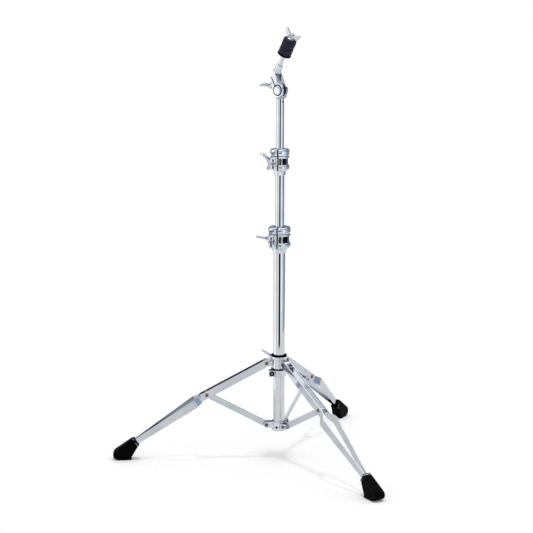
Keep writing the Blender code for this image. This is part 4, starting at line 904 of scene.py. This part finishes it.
# Zinc plate on a turned head: a bluish satin. Nickel plate: a darker, neutral grey, a little glossier. The
# turning marks of both are drawn at 0.8 mm, coarser than they are, so that they show.
bolt_plate = metal("zinc_plated_bolt", "#9aa3af", "#87909c", (0.10, 0.20), 0.8, 1.0, 5.0, 0.00006)
nickel_plate = metal("nickel_plated_bolt", "#8d9096", "#7b7e85", (0.08, 0.16), 0.8, 1.0, 5.0, 0.00005)
for node, finish, dome in (
    ("lower_clamp_screw", bolt_plate, 1.0),
    ("upper_clamp_screw", bolt_plate, 1.0),
    ("middle_lock_bolt", bolt_plate, 1.0),
    ("upper_lock_bolt", bolt_plate, 1.0),
    ("stop_ring_bolt", nickel_plate, WASHER_BORE - WASHER_FIT),
):
    low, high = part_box(node)
    washer_r = (high.z - low.z) / 2
    head = washer_r * dome
    face = low.y + BOLT_HEAD + GAP
    middle = ((low.x + high.x) / 2, face, (low.z + high.z) / 2)
    place = Matrix.Translation(middle) @ Matrix.Rotation(math.pi / 2, 4, "X")
    bolt_profile = [
        (head * 0.26, BOLT_HEAD - 0.0016),
        (head * 0.30, BOLT_HEAD - 0.0002),
        (head * 0.36, BOLT_HEAD + 0.0002),
        (head * 0.62, BOLT_HEAD * 0.92),
        (head * 0.82, BOLT_HEAD * 0.70),
        (head * 0.90, BOLT_HEAD * 0.45),
        (head * 0.91, BOLT_HEAD * 0.30),
        (head, BOLT_HEAD * 0.24),
        (head, GAP),
        (BOLT_SHANK_R, GAP),
        (BOLT_SHANK_R, BOLT_SHANK_END),
    ]
    dress(turned(node + "_domed", bolt_profile, place, 48), BODIES[node], finish, "steel", node)
    if dome < 1.0:
        washer_profile = [
            (washer_r, GAP),
            (washer_r, BOLT_HEAD * 0.30),
            (washer_r * 0.94, BOLT_HEAD * 0.42),
            (washer_r * WASHER_BORE, BOLT_HEAD * 0.42),
            (washer_r * WASHER_BORE, GAP),
            (washer_r, GAP),
        ]
        dress(turned(node + "_washer", washer_profile, place, 48), BODIES[node], nylon, "nylon")

# Rubber feet
# Moulded black rubber boots pushed over the ends of the rails, with a lip and a bright band round the mouth,
# ribs on the sides that help the fingers and grooves across the sole.
MOUTH_RADIUS = 0.3500
MOUTH_HEIGHT = 0.0450
FOOT_SLOPE = math.radians(33.9)
LIP = (0.0024, 0.0205, 0.0240)
SIDE_RIBS = (0.012, 0.0175, 0.023)
SOLE_GROOVES = (0.041, 0.048, 0.055)
RIB_GROOVE = (0.0022, 0.0030, 0.017)
RIB_DROP = -0.002
SIDE_OUT = 0.0103
SIDE_FLARE = 0.125
SOLE_GROOVE = (0.0020, 0.05, 0.0024)
LIP_SET = 0.0002
LIP_ROUND = 0.0008
BAND_PLACE = 0.0034
BAND_WIDTH = 0.0014
BAND_INSET = 0.0012
BAND_ROUND = 0.0004
BOOT_GRAIN = 0.0007
# Black rubber: the deepest black here, matt, with a faint light at its edges. Its grain is drawn at 1.1 mm,
# coarser than it is, so that it shows.
rubber = moulded("moulded_black_rubber", "#010102", "#030304", (0.45, 0.60), 0.03, 1.1, 0.00008)
SOLES = {mount["name"]: Vector(mount["pos_m"]) for mount in frame["record"]["mounts"]}
for leg in (1, 2, 3):
    node = f"leg_{leg}_foot"
    outward = SOLES[f"sole_{leg}"] - tube_axis
    swing = Matrix.Rotation(math.atan2(outward.y, outward.x), 4, "Z")
    mouth = Matrix.Translation((MOUTH_RADIUS, 0.0, MOUTH_HEIGHT)) @ Matrix.Rotation(FOOT_SLOPE, 4, "Y")
    mouth = Matrix.Translation(tube_axis) @ swing @ mouth
    boot = from_solid(node, 0.0)
    for along_foot in SIDE_RIBS:
        for side in (-1, 1):
            out = side * (SIDE_OUT + SIDE_FLARE * along_foot)
            spot = mouth @ Matrix.Translation((along_foot, out, RIB_DROP))
            carve(boot, rounded_block("rib_groove", RIB_GROOVE, spot, 0.0))
    for along_foot in SOLE_GROOVES:
        drop = (along_foot * math.sin(FOOT_SLOPE) - MOUTH_HEIGHT) / math.cos(FOOT_SLOPE)
        spot = mouth @ Matrix.Translation((along_foot, 0.0, drop)) @ Matrix.Rotation(-FOOT_SLOPE, 4, "Y")
        carve(boot, rounded_block("sole_groove", SOLE_GROOVE, spot, 0.0))
    lip_place = mouth @ Matrix.Translation((LIP[0] / 2 + LIP_SET, 0.0, -LIP_SET))
    carve(boot, rounded_block("lip", LIP, lip_place, LIP_ROUND), "UNION")
    melt(boot, BOOT_GRAIN, 5)
    dress(boot, BODIES[node], rubber, "rubber", node)
    band_place = mouth @ Matrix.Translation((BAND_PLACE, 0.0, -LIP_SET))
    band_size = (BAND_WIDTH, LIP[1] - BAND_INSET, LIP[2] - BAND_INSET)
    band = rounded_block(f"leg_{leg}_foot_band", band_size, band_place, BAND_ROUND)
    dress(band, BODIES[node], strip_chrome, "chrome")


# Felts
# Two thick washers of pressed wool felt on the rod's sleeve, which hold the cymbal between them. They are cut
# from sheet, so that a nap stands out at the edge.
FIBRE_MM = 1.2
FIBRE_DEPTH = 0.0006


def felt_wool(name):
    """Pressed wool: fibres that vary in colour and stand up a little, with a soft sheen."""
    made, tree, shader, where = new_finish(name)
    fibre_values = {"Scale": 1000.0 / FIBRE_MM, "Detail": 6.0, "Distortion": 1.5}
    fibre = add_node(tree, "ShaderNodeTexNoise", fibre_values, {0: where})
    tint = add_node(tree, "ShaderNodeValToRGB", links={0: fibre.outputs[0]})
    set_ramp(tint, ((0.34, "#0c0d19"), (0.50, "#191a2b"), (0.68, "#3f3f55")))
    tree.links.new(tint.outputs[0], shader.inputs["Base Color"])
    nap_values = {"Strength": 1.0, "Distance": FIBRE_DEPTH}
    bump = add_node(tree, "ShaderNodeBump", nap_values, {"Height": fibre.outputs[0]})
    tree.links.new(bump.outputs[0], shader.inputs["Normal"])
    shader.inputs["Roughness"].default_value = 0.95
    shader.inputs["Specular IOR Level"].default_value = 0.1
    shader.inputs["Sheen Weight"].default_value = 0.14
    shader.inputs["Sheen Roughness"].default_value = 0.5
    return made


# Wool felt in navy black: it swallows light, with paler fibres and a soft edge. The fibres are drawn 1.2 mm
# wide, coarser than they are, so that they show.
wool = felt_wool("pressed_wool_felt")
FELT_R = 0.0160
FELT_H = 0.0195
FELT_HOLE = 0.0066
FELT_ROWS = 22
UPPER_FELT_TOP = -0.0006
LOWER_FELT_TOP = -0.0204
FELT_EDGE = 0.0003
FELT_INSET = 0.0002
FELT_RIM = 0.0016
HOLE_CORNER = 0.0006
FELT_CROWN = 0.0004
FELT_CORNER = 0.0011
NAP_GRAIN = 0.0011
NAP_HEIGHT = 0.0006
nap = bpy.data.textures.new("nap", "CLOUDS")
nap.noise_scale = NAP_GRAIN
nap.noise_depth = 2
for node, top in (("upper_felt", UPPER_FELT_TOP), ("lower_felt", LOWER_FELT_TOP)):
    start = (FELT_HOLE, top - HOLE_CORNER)
    profile = [start, (FELT_HOLE + HOLE_CORNER, top), (FELT_R - FELT_RIM, top)]
    for row in range(FELT_ROWS + 1):
        share = row / FELT_ROWS
        crown = FELT_CROWN * math.sin(math.pi * share)
        corner = FELT_CORNER * (2 * abs(share - 0.5)) ** 8
        height = top - FELT_EDGE - (FELT_H - 2 * FELT_EDGE) * share
        profile.append((FELT_R - FELT_INSET + crown - corner, height))
    profile += [(FELT_R - FELT_RIM, top - FELT_H), (FELT_HOLE, top - FELT_H), start]
    felt = turned(node + "_pad", profile, post, 144)
    take(felt)
    fuzz = felt.modifiers.new("fuzz", "DISPLACE")
    fuzz.texture = nap
    fuzz.strength = NAP_HEIGHT
    fuzz.mid_level = 0.5
    bpy.ops.object.modifier_apply(modifier=fuzz.name)
    dress(felt, BODIES[node], wool, "felt", node)
